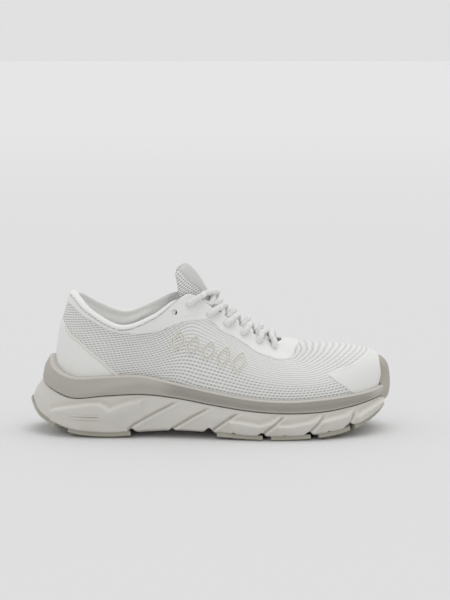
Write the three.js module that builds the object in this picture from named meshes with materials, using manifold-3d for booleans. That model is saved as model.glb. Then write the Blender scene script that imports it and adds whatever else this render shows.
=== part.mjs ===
// A right-foot, lace-up running shoe on a thick two-piece foam sole.
//
// Frame, in millimetres: +X points to the toe, +Y to the medial (inner) side, +Z up, and the origin is under
// the middle of the shoe, on the ground. The shapes are laid out with the heel near x = 0, and the finished
// group is then moved so that its box is centred over the origin.
//
// Everything is hung on STATIONS, a row of ribs round the shoe. A position round the shoe is a number u in
// station units, from 0 at the toe, along the lateral side to HEEL, and back along the medial side.
// A position up the upper is v, from 0 at the feather edge, through V_RIM at the top of the sole, to 1 at the
// collar or throat edge.
import * as THREE from "three";
import { mergeVertices } from "three/addons/utils/BufferGeometryUtils.js";
import Module from "manifold-3d";

const wasm = await Module();
wasm.setup();

// ---- Driving dimensions -------------------------------------------------------------------------------
const LENGTH = 300; // heel tip to toe tip
const WIDTH = 103.5; // widest part of the sole, at the ball
const HEIGHT_RATIO = 1; // stretches every height in the station table

const GAP = 0.3; // clearance between neighbouring pieces
const MESH_T = 1.6; // knitted outer mesh
const OVERLAY_T = 0.8; // welded film overlays
const COUNTER_T = 1.8; // heel counter, inside the heel
const PUFF_T = 0.9; // toe puff, inside the toe
const REINFORCEMENT_T = 0.8; // tape behind the eyelets
const LINING_T = 0.9; // collar and quarter lining
const PADDING_T = 7.5; // collar foam at its thickest
const FLOOR_T = 4; // upper midsole, under the foot
const RUBBER_T = 3; // outsole rubber
const BOARD_T = 1.6; // strobel board
const SOCK_T = 4.2; // sockliner
const SOCK_LIP = 4.5; // raised edge of the sockliner
const BUMPER_T = 1.8; // rubber that wraps up over the toe
const LACE_D = 3.8; // shoelace
const AGLET_L = 14; // length of a lace tip
const EYELET_D = 6.4; // punched lace holes
const TONGUE_SKIN_T = 0.9; // mesh face and lining of the tongue
const TONGUE_FOAM_T = 4; // foam of the tongue at its middle
const LABEL_T = 0.8; // patch on the tongue
const GROOVE_W = 6.5; // flex grooves across the sole
const GROOVE_H = 6; // their depth

// ---- Stations -----------------------------------------------------------------------------------------
// Each row: plan x, y of the joint between the two midsoles | heights of the rim top and of that joint |
// height and flare of the sidewall's lower edge | height and inset of the ground face | height and inset of
// the footbed's edge | x, y, z of the collar or throat edge | how far out and up a rib starts, and how far
// out and down it arrives.
const TABLE_LENGTH = 300;
const TABLE_WIDTH = 103.5;
const STATION_COLUMNS = [
  "x", "y", "top", "joint", "edge", "flare", "ground", "foot", "footbed", "feather",
  "tx", "ty", "tz", "out", "up", "over", "down",
];
const TOE_STATION = [295.4, 4, 39.5, 31, 25, -1.5, 14.5, 12.5, 31, 6.6, 214.5, 1, 73.6, 15.5, 50, 49, 7];
const HEEL_STATION = [6.8, 0, 63.4, 43.2, 27.5, 8.2, 9.5, 10, 40.5, 12.6, 31, 0, 114, 2.2, 31.5, 8, 20];
const LATERAL_STATIONS = [
  [289.5, -15, 38.2, 30.2, 22, -1, 11.5, 10.5, 30, 6.6, 213.8, -4, 73.8, 14, 47, 48, 8],
  [277.5, -29, 36.6, 28.2, 15.5, 0, 7, 8, 28, 6.4, 211.5, -8.5, 73, 12, 41, 43, 10],
  [262, -39.5, 35.3, 25.6, 10.5, 0.6, 3.6, 5.5, 26, 6.2, 206, -12.5, 73, 10, 34, 33, 14],
  [240, -48.4, 33.8, 23, 6.6, 1, 0.6, 4, 24, 6, 197, -15, 74.8, 8, 30, 23, 18],
  [212, -52.5, 32.5, 22.3, 5, 1, -0.6, 3.6, 22.6, 6, 184, -17, 81.6, 7, 30, 18, 20],
  [182, -51.6, 34, 23.9, 5, 1, -0.4, 3.6, 24, 6, 167, -18, 91.8, 7, 30, 14, 19],
  [150, -47.6, 39.2, 28.3, 7, 0.6, 1.4, 4, 28.3, 6, 148, -18.2, 104.6, 6, 30, 12, 18],
  [120, -43, 45.4, 33.3, 8, 0.6, 2.4, 4.4, 33.6, 6.2, 128, -20, 115, 5, 28, 9, 20],
  [92, -41, 51.4, 36, 7, 0.8, 1, 4, 38.2, 6.8, 101, -30, 97.2, 4, 22, 5, 20],
  [62, -41.8, 51, 35, 5.5, 1, -0.4, 4.4, 39.5, 7.4, 74, -32.4, 88.4, 4, 20, 2.5, 18],
  [34, -37.2, 49.6, 32.4, 8, 2.5, 1, 5, 39.8, 8.6, 47.5, -25.6, 101, 3, 25, 4, 18],
  [14, -22.5, 56.5, 38.6, 17, 6.5, 5, 7.5, 40.2, 10.6, 35, -12.4, 111.6, 2.5, 30, 7, 19],
];
const MEDIAL_STATIONS = [
  [14, 22.5, 56.5, 38.6, 17, 6.5, 5, 7.5, 40.2, 10.6, 35, 12.4, 112, 2.5, 30, 7, 19],
  [34, 36.8, 49.6, 32.4, 8, 2.5, 1, 5, 39.8, 8.6, 47.5, 25.6, 103.4, 3, 25, 4, 18],
  [62, 39.8, 51.6, 35, 5.5, 1, -0.4, 4.4, 39.5, 7.4, 74, 31.8, 92.8, 4, 20, 2.5, 18],
  [92, 36.4, 52.6, 36.6, 7, 0.8, 1, 4, 38.6, 6.8, 99.5, 29.4, 101, 3.5, 22, 5, 20],
  [120, 36.2, 47.4, 34.6, 8, 0.6, 2.4, 4.4, 34.2, 6.2, 127.5, 20, 115.4, 5, 28, 9, 20],
  [150, 40.4, 40.6, 29.4, 7, 0.6, 1.4, 4, 28.8, 6, 148, 18.4, 105, 6.5, 30, 12, 18],
  [180, 46.6, 34.8, 24.4, 5, 1, -0.4, 3.6, 24.2, 6, 167, 18.4, 92.2, 7, 30, 14, 19],
  [210, 50.8, 32.8, 22.4, 5, 1, -0.6, 3.6, 22.6, 6, 184, 17.6, 81.9, 7, 30, 18, 20],
  [238, 49.6, 33.8, 23, 6.6, 1, 0.6, 4, 24, 6, 197, 16, 75, 8, 30, 23, 18],
  [260, 43.6, 35.3, 25.6, 10.5, 0.6, 3.6, 5.5, 26, 6.2, 206, 13.6, 73.2, 10, 34, 33, 14],
  [276, 34.8, 36.6, 28.2, 15.5, 0, 7, 8, 28, 6.4, 211.5, 10, 73.2, 12, 41, 43, 10],
  [288.5, 21.5, 38.2, 30.2, 22, -1, 11.5, 10.5, 30, 6.6, 213.8, 6, 73.9, 14, 47, 48, 8],
];
const STATIONS = [TOE_STATION, ...LATERAL_STATIONS, HEEL_STATION, ...MEDIAL_STATIONS];
const AROUND = STATIONS.length;
const HEEL = 1 + LATERAL_STATIONS.length; // u of the heel's middle
const STEPS = 2; // samples for each station
const V_RIM = 0.15;
const LEVELS = [0, 0.075, 0.17, 0.28, 0.42, 0.56, 0.7, 0.82, 0.92, 1];
const BLOCK = 400; // larger than the shoe, for cutting shapes

const STRETCHED = {
  x: LENGTH / TABLE_LENGTH, tx: LENGTH / TABLE_LENGTH,
  y: WIDTH / TABLE_WIDTH, ty: WIDTH / TABLE_WIDTH,
};
const HEIGHTS = ["top", "joint", "edge", "ground", "footbed", "tz", "up", "down"];
const STRETCH = { ...Object.fromEntries(HEIGHTS.map((name) => [name, HEIGHT_RATIO])), ...STRETCHED };

// ---- Curves round the shoe ----------------------------------------------------------------------------

// A closed Catmull-Rom curve through one column of the table.
function column(name, u) {
  const index = STATION_COLUMNS.indexOf(name);
  const at = (k) => STATIONS[((k % AROUND) + AROUND) % AROUND][index];
  const i = Math.floor(u);
  const f = u - i;
  const [a, b, c, d] = [at(i - 1), at(i), at(i + 1), at(i + 2)];
  const value = b + 0.5 * f * (c - a + f * (2 * a - 5 * b + 4 * c - d + f * (3 * (b - c) + d - a)));
  return value * (STRETCH[name] ?? 1);
}

// The outward normal, in plan, of the sole's outline.
function planNormal(u) {
  const step = 0.01;
  const dx = column("x", u + step) - column("x", u - step);
  const dy = column("y", u + step) - column("y", u - step);
  return new THREE.Vector3(dy, -dx, 0).normalize().multiplyScalar(-1);
}

// A point of the sole's outline moved in by inset, at height z.
function outline(u, inset, z) {
  return new THREE.Vector3(column("x", u), column("y", u), z).addScaledVector(planNormal(u), -inset);
}

// The four control points of a rib: feather edge, start, arrival, collar or throat edge.
function rib(u) {
  const low = outline(u, column("feather", u), column("footbed", u));
  const high = new THREE.Vector3(column("tx", u), column("ty", u), column("tz", u));
  const away = new THREE.Vector3(low.x - high.x, low.y - high.y, 0).normalize();
  const start = low.clone().addScaledVector(away, column("out", u));
  start.z += column("up", u);
  const arrival = high.clone().addScaledVector(away, column("over", u));
  arrival.z -= column("down", u);
  return new THREE.CubicBezierCurve3(low, start, arrival, high);
}

// Where on the rib the top of the sole lies.
function ribShareAtRim(curve, height) {
  let low = 0;
  let high = 0.5;
  for (let k = 0; k < 30; k++) {
    const middle = (low + high) / 2;
    if (curve.getPoint(middle).z < height) low = middle;
    else high = middle;
  }
  return low;
}

function onUpper(u, v) {
  const curve = rib(u);
  const rim = ribShareAtRim(curve, column("top", u));
  const share = v < V_RIM ? (v / V_RIM) * rim : rim + ((v - V_RIM) / (1 - V_RIM)) * (1 - rim);
  return curve.getPoint(share);
}

// The upper's outward normal and its direction of rising v.
function frameOnUpper(u, v) {
  const step = 0.01;
  const along = onUpper(u + step, v).sub(onUpper(u - step, v));
  const rise = onUpper(u, Math.min(1, v + step)).sub(onUpper(u, Math.max(0, v - step))).normalize();
  const normal = new THREE.Vector3().crossVectors(rise, along).normalize();
  return { normal, rise };
}

// A point on the upper, moved out by offset (in, if it is negative).
const upperCache = new Map();
function upper(u, v, offset = 0) {
  const key = `${u},${v}`;
  if (!upperCache.has(key)) upperCache.set(key, { point: onUpper(u, v), ...frameOnUpper(u, v) });
  const { point, normal } = upperCache.get(key);
  return point.clone().addScaledVector(normal, offset);
}

// ---- Solids -------------------------------------------------------------------------------------------

const asVertices = (points) => points.flatMap((p) => [p.x, p.y, p.z]);

// Cutting each quad along its shorter diagonal gives parallel layers the same facets.
function splitQuad(points, [a, b, c, d]) {
  const shorter = points[a].distanceTo(points[c]) <= points[b].distanceTo(points[d]) + 1e-3;
  return shorter ? [a, b, c, a, c, d] : [a, b, d, b, c, d];
}

// A manifold solid from points and faces, each face a list of three or four point numbers.
function solidOf(points, faces) {
  const triangles = faces.flatMap((f) => (f.length === 4 ? splitQuad(points, f) : f));
  const geometry = new THREE.BufferGeometry();
  geometry.setAttribute("position", new THREE.Float32BufferAttribute(asVertices(points), 3));
  geometry.setIndex(triangles);
  return solidOfGeometry(geometry);
}

function solidOfGeometry(geometry) {
  const bare = geometry.clone();
  bare.deleteAttribute("normal");
  bare.deleteAttribute("uv");
  const merged = mergeVertices(bare, 1e-3);
  const kept = [];
  const index = merged.index.array;
  for (let i = 0; i < index.length; i += 3) {
    const [a, b, c] = [index[i], index[i + 1], index[i + 2]];
    if (a !== b && b !== c && a !== c) kept.push(a, b, c);
  }
  const build = (triangles) =>
    new wasm.Manifold(
      new wasm.Mesh({
        numProp: 3,
        vertProperties: new Float32Array(merged.attributes.position.array),
        triVerts: new Uint32Array(triangles),
      }),
    );
  const solid = build(kept);
  return solid.volume() > 0 ? solid : build(kept.reverse());
}

// The largest body of a solid, as the geometry of a mesh.
function geometryOf(solid) {
  const body = solid.decompose().sort((a, b) => b.volume() - a.volume())[0];
  const { vertProperties, triVerts } = body.getMesh();
  const geometry = new THREE.BufferGeometry();
  geometry.setAttribute("position", new THREE.BufferAttribute(new Float32Array(vertProperties), 3));
  geometry.setIndex(new THREE.BufferAttribute(new Uint32Array(triVerts), 1));
  geometry.computeVertexNormals();
  return geometry;
}

// Rings of points joined in order. A closed loop of rings is a tube with ends; one that wraps is a torus.
function joinRings(rings, { wrap = false, closedRing = true }) {
  const n = rings[0].length;
  const faces = [];
  const last = wrap ? rings.length : rings.length - 1;
  for (let r = 0; r < last; r++) {
    const s = (r + 1) % rings.length;
    for (let k = 0; k < (closedRing ? n : n - 1); k++) {
      const m = (k + 1) % n;
      faces.push([r * n + k, s * n + k, s * n + m, r * n + m]);
    }
  }
  return faces;
}

// A solid swept round the shoe from u0 to u1: section(u) gives its closed outline at u, counter-clockwise
// when it is seen from rising u. A sweep right round the shoe has no ends.
function sweep(u0, u1, section, steps = STEPS) {
  const whole = Math.abs(u1 - u0 - AROUND) < 1e-6;
  const count = Math.round((u1 - u0) * steps);
  const rings = [];
  for (let i = 0; i < (whole ? count : count + 1); i++) rings.push(section(u0 + ((u1 - u0) * i) / count));
  const n = rings[0].length;
  const faces = joinRings(rings, { wrap: whole });
  if (!whole) {
    const last = (rings.length - 1) * n;
    faces.push(...sectionCap(n), ...sectionCap(n).map((t) => t.map((k) => k + last).reverse()));
  }
  return solidOf(rings.flat(), faces);
}

// Triangles over a section whose first half runs one way and whose second half runs back beside it.
function sectionCap(n) {
  const faces = [];
  for (let low = 0, high = n - 1; high - low > 1; ) {
    faces.push([low, low + 1, high]);
    low += 1;
    if (high - low > 1) faces.push([low, high - 1, high]);
    high -= 1;
  }
  return faces;
}

// A layer of the upper between two offsets, over the levels given.
function layer(u0, u1, levels, outer, inner) {
  const offset = (f, u, v) => (typeof f === "number" ? f : f(u, v));
  return sweep(u0, u1, (u) => {
    const outside = levels.map((v) => upper(u, v, offset(outer, u, v)));
    const inside = levels.map((v) => upper(u, v, offset(inner, u, v)));
    return [...outside, ...inside.reverse()];
  });
}

// A solid made of rings stacked from its bottom edge to its top edge, closed below and above by caps that
// span the shoe from side to side.
function stack(ringFunctions) {
  const count = AROUND * STEPS;
  const points = [];
  const rings = ringFunctions.map((ring) => {
    const made = [];
    for (let i = 0; i < count; i++) made.push(ring(i / STEPS));
    points.push(...made);
    return made;
  });
  const faces = joinRings(rings, {}).map((f) => f.slice().reverse());
  const addCap = (ringIndex, facesUp) => {
    const half = count / 2;
    const cells = 4;
    const start = ringIndex * count;
    const rows = [];
    for (let i = 0; i <= half; i++) {
      const a = rings[ringIndex][i];
      const b = rings[ringIndex][(count - i) % count];
      if (i === 0 || i === half) {
        rows.push(new Array(cells + 1).fill(start + i));
        continue;
      }
      const row = [start + i];
      for (let k = 1; k < cells; k++) {
        const t = k / cells;
        row.push(points.length);
        points.push(a.clone().lerp(b, t));
      }
      row.push(start + count - i);
      rows.push(row);
    }
    for (let i = 0; i < half; i++) {
      for (let k = 0; k < cells; k++) {
        const face = [rows[i][k], rows[i + 1][k], rows[i + 1][k + 1], rows[i][k + 1]];
        faces.push(facesUp ? face : face.reverse());
      }
    }
  };
  addCap(0, false);
  addCap(rings.length - 1, true);
  return solidOf(points, faces);
}

// A straight-sided block whose outline, through the points given, is drawn in the side view (x, z).
function sideBlock(points) {
  const shape = new THREE.Shape();
  shape.moveTo(points[0][0] * STRETCH.x, points[0][1] * HEIGHT_RATIO);
  for (const [x, z] of points.slice(1)) shape.lineTo(x * STRETCH.x, z * HEIGHT_RATIO);
  const geometry = new THREE.ExtrudeGeometry(shape, { depth: BLOCK, bevelEnabled: false });
  geometry.rotateX(Math.PI / 2).translate(0, BLOCK / 2, 0);
  return solidOfGeometry(geometry);
}

// The same, drawn in plan (x, y).
function planBlock(points) {
  const shape = new THREE.Shape(points.map(([x, y]) => new THREE.Vector2(x * STRETCH.x, y * STRETCH.y)));
  const geometry = new THREE.ExtrudeGeometry(shape, { depth: BLOCK, bevelEnabled: false });
  geometry.translate(0, 0, -BLOCK / 2);
  return solidOfGeometry(geometry);
}

// ---- Eyelets ------------------------------------------------------------------------------------------
const EYELET_EDGE = 8; // from a hole's middle to the throat edge
const FREE_EYELET_EDGE = 10; // the free hole, row 0, is set further back
const EYELET_U = [8.32, 7.87, 7.1, 6.46, 5.78, 5.08, 4.26]; // lateral, from the ankle to the toe
const EYELET_ROWS = EYELET_U.length;

// The v of the point that lies a distance below the throat edge.
function vBelowEdge(u, distance) {
  const step = 0.005;
  let length = 0;
  let last = onUpper(u, 1);
  for (let v = 1 - step; v > V_RIM; v -= step) {
    const next = onUpper(u, v);
    length += next.distanceTo(last);
    if (length >= distance) return v;
    last = next;
  }
  return V_RIM;
}

// side is -1 on the lateral side and 1 on the medial side.
function eyelet(side, row) {
  const u = side < 0 ? EYELET_U[row] : AROUND - EYELET_U[row];
  const v = vBelowEdge(u, row === 0 ? FREE_EYELET_EDGE : EYELET_EDGE);
  return { u, v };
}

function eyeletCutters() {
  const cutters = [];
  for (const side of [-1, 1]) {
    for (let row = 0; row < EYELET_ROWS; row++) {
      const { u, v } = eyelet(side, row);
      const { normal } = frameOnUpper(u, v);
      const middle = upper(u, v, -1);
      const geometry = new THREE.CylinderGeometry(EYELET_D / 2, EYELET_D / 2, 16, 8);
      geometry.applyQuaternion(new THREE.Quaternion().setFromUnitVectors(new THREE.Vector3(0, 1, 0), normal));
      geometry.translate(middle.x, middle.y, middle.z);
      cutters.push(solidOfGeometry(geometry));
    }
  }
  return wasm.Manifold.union(cutters);
}

// ---- Sole ---------------------------------------------------------------------------------------------
const floorHeight = (u) => column("footbed", u) - BOARD_T - 2 * GAP;
const basinHeight = (u) => floorHeight(u) - FLOOR_T - GAP;
const GROOVE_X = [81, 115, 146, 190, 229, 263];

function makeCarrier() {
  const bulge = 0.8;
  const solid = stack([
    (u) => outline(u, column("foot", u), column("ground", u) + RUBBER_T + GAP),
    (u) => outline(u, -column("flare", u), column("edge", u)),
    (u) => outline(u, -column("flare", u) / 2 - bulge, (column("edge", u) + column("joint", u)) / 2),
    (u) => outline(u, 0, column("joint", u)),
    (u) => outline(u, column("feather", u), basinHeight(u)),
  ]);
  const grooves = GROOVE_X.map((x) => {
    const bottom = RUBBER_T + (x > 250 ? 4 : 0);
    const half = GROOVE_W / 2;
    return sideBlock([[x - half, bottom - 9], [x + half, bottom - 9], [x, bottom + GROOVE_H]]);
  });
  return solid.subtract(wasm.Manifold.union(grooves));
}

// How far the rim leans in towards the heel's middle.
const rimLean = (u) => 7 * Math.exp(-(((u - HEEL) / 1.1) ** 2));

function makeRim() {
  return stack([
    (u) => outline(u, column("feather", u), basinHeight(u) + GAP),
    (u) => outline(u, 0, column("joint", u) + GAP),
    (u) => outline(u, 0.45 * rimLean(u) - 0.6, column("joint", u) * 0.45 + column("top", u) * 0.55),
    (u) => outline(u, 0.93 * rimLean(u) + 1, column("top", u) - 1.2),
    (u) => outline(u, rimLean(u) + 2, column("top", u)),
    (u) => upper(u, V_RIM, GAP),
    (u) => upper(u, V_RIM / 2, GAP),
    (u) => upper(u, 0, GAP),
    (u) => outline(u, column("feather", u) - GAP, floorHeight(u)),
  ]);
}

function makeBoard() {
  return stack([
    (u) => outline(u, column("feather", u) + GAP, floorHeight(u) + GAP),
    (u) => outline(u, column("feather", u) + GAP, floorHeight(u) + GAP + BOARD_T),
  ]);
}

function makeSockliner() {
  const inset = MESH_T + COUNTER_T + LINING_T + 5 * GAP;
  const base = (u) => column("footbed", u);
  return stack([
    (u) => outline(u, column("feather", u) + inset + 1, base(u)),
    (u) => outline(u, column("feather", u) + inset, base(u) + 2),
    (u) => outline(u, column("feather", u) + inset, base(u) + SOCK_T + SOCK_LIP),
    (u) => outline(u, column("feather", u) + inset + 1.2, base(u) + SOCK_T + SOCK_LIP),
    (u) => outline(u, column("feather", u) + inset + 8, base(u) + SOCK_T),
  ]);
}

// A point on the slope from the ground face up to the sidewall, moved out of it by offset.
function slope(u, share, offset) {
  const run = column("foot", u) + column("flare", u);
  const rise = column("edge", u) - column("ground", u) - RUBBER_T - GAP;
  const length = Math.hypot(run, rise);
  const inset = column("foot", u) - run * share - (offset * rise) / length;
  return outline(u, inset, column("edge", u) - rise * (1 - share) - (offset * run) / length);
}

// The sheet that all rubber pads are cut from: it wraps a little up the slope, and is flat on the ground.
function rubberSheet() {
  const wrap = 0.7;
  const sheet = stack([
    (u) => outline(u, column("foot", u) - 0.8, column("ground", u)),
    (u) => slope(u, wrap, RUBBER_T + GAP),
    (u) => slope(u, wrap, GAP),
    (u) => outline(u, column("foot", u), column("ground", u) + RUBBER_T - 0.05),
  ]);
  return sheet.trimByPlane([0, 0, 1], 0);
}

// A pad between two x, on one side of the middle of the sole. The cuts lean forward like the flex grooves.
function pad(sheet, x0, x1, side, channel = 7) {
  const lean = 7;
  const far = side * 80;
  const near = side * channel;
  return sheet.intersect(planBlock([[x0, near], [x1, near], [x1 + lean, far], [x0 + lean, far]]));
}

function makeBumper() {
  return sweep(-1, 1, (u) => {
    const fade = Math.abs(u);
    const inner = [
      outline(u, -GAP, column("edge", u) + 2),
      outline(u, -0.6 - GAP, (column("edge", u) + column("joint", u)) / 2),
      outline(u, -GAP, column("joint", u)),
      outline(u, -0.8 - GAP, column("joint", u) * 0.45 + column("top", u) * 0.55),
      outline(u, 0.6, column("top", u) - 0.6),
      upper(u, V_RIM + 0.03, OVERLAY_T + 3 * GAP),
      upper(u, 0.28 - 0.08 * fade, OVERLAY_T + 3 * GAP),
      upper(u, 0.36 - 0.14 * fade, OVERLAY_T + 3 * GAP),
    ];
    const thick = BUMPER_T * (1 - 0.35 * fade);
    const outer = inner.map((p, k) => p.clone().addScaledVector(planNormal(u), k < 7 ? thick : thick * 0.5));
    return [...outer, ...inner.reverse()];
  });
}

// ---- Layers of the upper ------------------------------------------------------------------------------
const INSIDE_MESH = -(MESH_T + GAP);
const COLLAR_U0 = 8;
const COLLAR_U1 = AROUND - COLLAR_U0;
const smooth = THREE.MathUtils.smoothstep;

// Thickness of whatever lies between the mesh and the lining: the heel counter low down, foam above it.
function packing(u, v) {
  const along = smooth(u, COLLAR_U0, COLLAR_U0 + 1.5) * (1 - smooth(u, COLLAR_U1 - 1.5, COLLAR_U1));
  const up = smooth(v, 0.6, 0.84) * (1 - 0.6 * smooth(v, 0.84, 1));
  return COUNTER_T + (PADDING_T - COUNTER_T) * along * up;
}
const insidePacking = (u, v) => INSIDE_MESH - packing(u, v);
const liningOuter = (u, v) => insidePacking(u, v) - GAP;
const liningInner = (u, v) => insidePacking(u, v) - GAP - LINING_T;
const levelsBetween = (low, high) => LEVELS.filter((v) => v >= low && v <= high);

// A film on the outside of the mesh, inside an outline drawn in the side view.
function overlay(u0, u1, low, high, sideOutline) {
  const film = layer(u0, u1, levelsBetween(low, high), GAP + OVERLAY_T, GAP);
  return film.intersect(sideBlock(sideOutline));
}

const TOE_CAP_OUTLINE = [
  [278.6, 90], [278.6, 66], [276, 62.2], [264, 57.5], [250.8, 55.3], [246.4, 52.6], [250.6, 47.7],
  [257.5, 42.1], [264.5, 34], [264.5, 20], [330, 20], [330, 90],
];
const HEEL_OVERLAY_OUTLINE = [
  [-20, 90.5], [27.7, 90.5], [31.8, 82], [40.6, 77.1], [48.8, 69.4], [58, 62.3], [69, 52.1], [74, 40], [-20, 40],
];
const EYESTAY_OUTLINE = [
  [77, 140], [75, 92], [76, 86.5], [86, 83.5], [98.4, 84.6], [108.8, 87.6], [119, 92], [129.5, 94.5],
  [147, 95.8], [152, 92], [157.2, 87], [167.3, 82.8], [177.6, 76.5], [185.7, 71], [197, 66.5],
  [206, 63.5], [214.5, 63.4], [221, 67], [223, 74], [223, 140],
];

function makeCollarRoll() {
  const height = 3.2;
  return sweep(COLLAR_U0 + 0.5, COLLAR_U1 - 0.5, (u) => {
    const { rise } = frameOnUpper(u, 1);
    const outer = 0.9;
    const inner = liningInner(u, 1);
    const middle = (outer + inner) / 2;
    const at = (offset, lift) => upper(u, 1, offset).addScaledVector(rise, lift);
    return [
      at(outer, 1.4 * GAP), at(outer - 0.3, GAP + height * 0.65), at(middle + (outer - middle) * 0.45, GAP + height),
      at(middle + (inner - middle) * 0.45, GAP + height), at(inner + 0.3, GAP + height * 0.65), at(inner, 1.4 * GAP),
    ];
  });
}

// ---- Tongue -------------------------------------------------------------------------------------------
// Its face in the middle of the shoe: x, z | half width | how far the edges lie behind the middle.
const TONGUE_COLUMNS = [
  [226, 65.2, 11, 1.5], [213, 67.6, 13, 4], [203, 70.6, 15, 8], [190, 75.8, 17, 11], [170, 86.8, 18, 14],
  [153, 100, 16.8, 15.6], [142, 113.4, 15.8, 15], [134.5, 127.6, 17.2, 13], [127.5, 138.5, 12.5, 4],
];
const TONGUE_ROWS = TONGUE_COLUMNS.length - 1;

function tongueColumn(k, s) {
  const at = (i) => TONGUE_COLUMNS[THREE.MathUtils.clamp(i, 0, TONGUE_ROWS)][k];
  const place = Math.min(s * TONGUE_ROWS, TONGUE_ROWS - 1e-6);
  const i = Math.floor(place);
  const f = place - i;
  const [a, b, c, d] = [at(i - 1), at(i), at(i + 1), at(i + 2)];
  return b + 0.5 * f * (c - a + f * (2 * a - 5 * b + 4 * c - d + f * (3 * (b - c) + d - a)));
}

// The face of the tongue at s (base to top) and w (-1 lateral edge to 1 medial edge), moved out by offset.
function tongueFace(s, w, offset = 0) {
  const step = 0.01;
  const middle = (t) =>
    new THREE.Vector3(tongueColumn(0, t) * STRETCH.x, 0, tongueColumn(1, t) * HEIGHT_RATIO);
  const along = middle(Math.min(1, s + step)).sub(middle(Math.max(0, s - step))).normalize();
  const front = new THREE.Vector3(along.z, 0, -along.x);
  const halfWidth = tongueColumn(2, s) * STRETCH.y;
  const droop = tongueColumn(3, s);
  const tilt = Math.atan2(2 * droop * w, halfWidth);
  const normal = front.clone().multiplyScalar(Math.cos(tilt));
  normal.y = Math.sin(tilt);
  const point = middle(s).addScaledVector(front, -droop * w * w);
  point.y += halfWidth * w;
  return point.addScaledVector(normal, offset);
}

// A layer of the tongue between two offsets, given as functions of s and w.
function tongueLayer(s0, s1, w1, outer, inner, rows = 14, across = 8) {
  const points = [];
  for (const offset of [outer, inner]) {
    for (let i = 0; i <= rows; i++) {
      for (let k = 0; k <= across; k++) {
        const s = s0 + ((s1 - s0) * i) / rows;
        const w = w1 * ((2 * k) / across - 1);
        points.push(tongueFace(s, w, offset(s, w)));
      }
    }
  }
  const n = across + 1;
  const under = (rows + 1) * n;
  const faces = [];
  for (let i = 0; i < rows; i++) {
    for (let k = 0; k < across; k++) {
      const [a, b, c, d] = [i * n + k, (i + 1) * n + k, (i + 1) * n + k + 1, i * n + k + 1];
      faces.push([a, b, c, d], [d + under, c + under, b + under, a + under]);
    }
    const [left, nextLeft, right, nextRight] = [i * n, (i + 1) * n, i * n + across, (i + 1) * n + across];
    faces.push([nextLeft, left, left + under, nextLeft + under]);
    faces.push([right, nextRight, nextRight + under, right + under]);
  }
  for (let k = 0; k < across; k++) {
    const last = rows * n + k;
    faces.push([k, k + 1, k + 1 + under, k + under], [last + 1, last, last + under, last + 1 + under]);
  }
  return solidOf(points, faces);
}

const foamThickness = (s, w) =>
  0.6 + (TONGUE_FOAM_T - 0.6) * (1 - w ** 4) * smooth(s, 0.1, 0.3) * (1 - smooth(s, 0.94, 1));
const insideFace = -(TONGUE_SKIN_T + GAP);

// ---- Shoelace -----------------------------------------------------------------------------------------
const LACE_R = LACE_D / 2;
const OVER_EDGE = GAP + OVERLAY_T + GAP + LACE_R + 1;
const UNDER_EDGE = -(MESH_T + GAP + REINFORCEMENT_T + GAP + LACE_R + 0.9);

// From the outside, over the throat edge, down through a hole and back under the edge.
function throughEyelet(side, row) {
  const { u, v } = eyelet(side, row);
  const toToe = side < 0 ? -0.1 : 0.1;
  const gap = 1 - v;
  const past = frameOnUpper(u, 1).rise.multiplyScalar(2.5);
  return [
    upper(u + toToe * 2.2, 1, OVER_EDGE + 1.2).add(past),
    upper(u + toToe * 1.5, 1, OVER_EDGE + 1.7),
    upper(u + toToe * 0.4, v + gap * 0.4, OVER_EDGE + 0.6),
    upper(u, v + gap * 0.05, OVER_EDGE - 1.6),
    upper(u, v, -0.8),
    upper(u, v + gap * 0.05, UNDER_EDGE + 1.6),
    upper(u - toToe * 0.4, v + gap * 0.35, UNDER_EDGE),
    upper(u - toToe * 1.5, 1, UNDER_EDGE),
    upper(u - toToe * 2.2, 1, UNDER_EDGE + 0.6).add(past),
  ];
}

// The s at which the edge of the tongue comes nearest to the throat edge at a row.
function tongueShare(row) {
  const edge = onUpper(EYELET_U[row], 1);
  const shares = Array.from({ length: 200 }, (_, k) => k / 200);
  const distances = shares.map((s) => tongueFace(s, -0.9).distanceTo(edge));
  return shares[distances.indexOf(Math.min(...distances))];
}

// Over the tongue, from under the edge at row + 1 on one side to over the edge at row on the other.
function crossing(fromSide, row) {
  const s0 = tongueShare(row + 1);
  const s1 = tongueShare(row);
  const onTop = fromSide > 0;
  const rest = LACE_R + 1.3;
  return [-0.5, 0, 0.5].map((t) => {
    const lift = t === 0 && onTop ? rest + LACE_D + 0.4 : rest + (onTop ? 1.4 : 0.3);
    return tongueFace(s0 + (s1 - s0) * (0.5 + t * 0.8), -fromSide * t, lift);
  });
}

function lacePath() {
  const points = [];
  const tail = (side) => {
    const { u, v } = eyelet(side, 1);
    const drift = side < 0 ? -0.12 : 0.12;
    return [0.2, 0.42, 0.64, 0.86].map((t) => upper(u + drift * 4 * t, v - (v - 0.3) * t, UNDER_EDGE));
  };
  const first = [[-1, 1], [1, 2], [-1, 3], [1, 4], [-1, 5], [1, 6]];
  points.push(...tail(-1).reverse());
  first.forEach(([side, row], k) => {
    const pass = throughEyelet(side, row).reverse();
    points.push(...(k === 0 ? pass.slice(3) : pass));
    if (row < EYELET_ROWS - 1) points.push(...crossing(-side, row).reverse());
  });
  const bar = [throughEyelet(1, 6)[0], throughEyelet(-1, 6)[0]];
  points.push(bar[0].clone().lerp(bar[1], 0.5).add(new THREE.Vector3(0, 0, 0.8)));
  const second = [[-1, 6], [1, 5], [-1, 4], [1, 3], [-1, 2], [1, 1]];
  second.forEach(([side, row], k) => {
    const pass = throughEyelet(side, row);
    if (k > 0) points.push(...crossing(-side, row));
    points.push(...(k === second.length - 1 ? pass.slice(0, -3) : pass));
  });
  points.push(...tail(1));
  return new THREE.CatmullRomCurve3(points, false, "centripetal");
}

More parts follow.
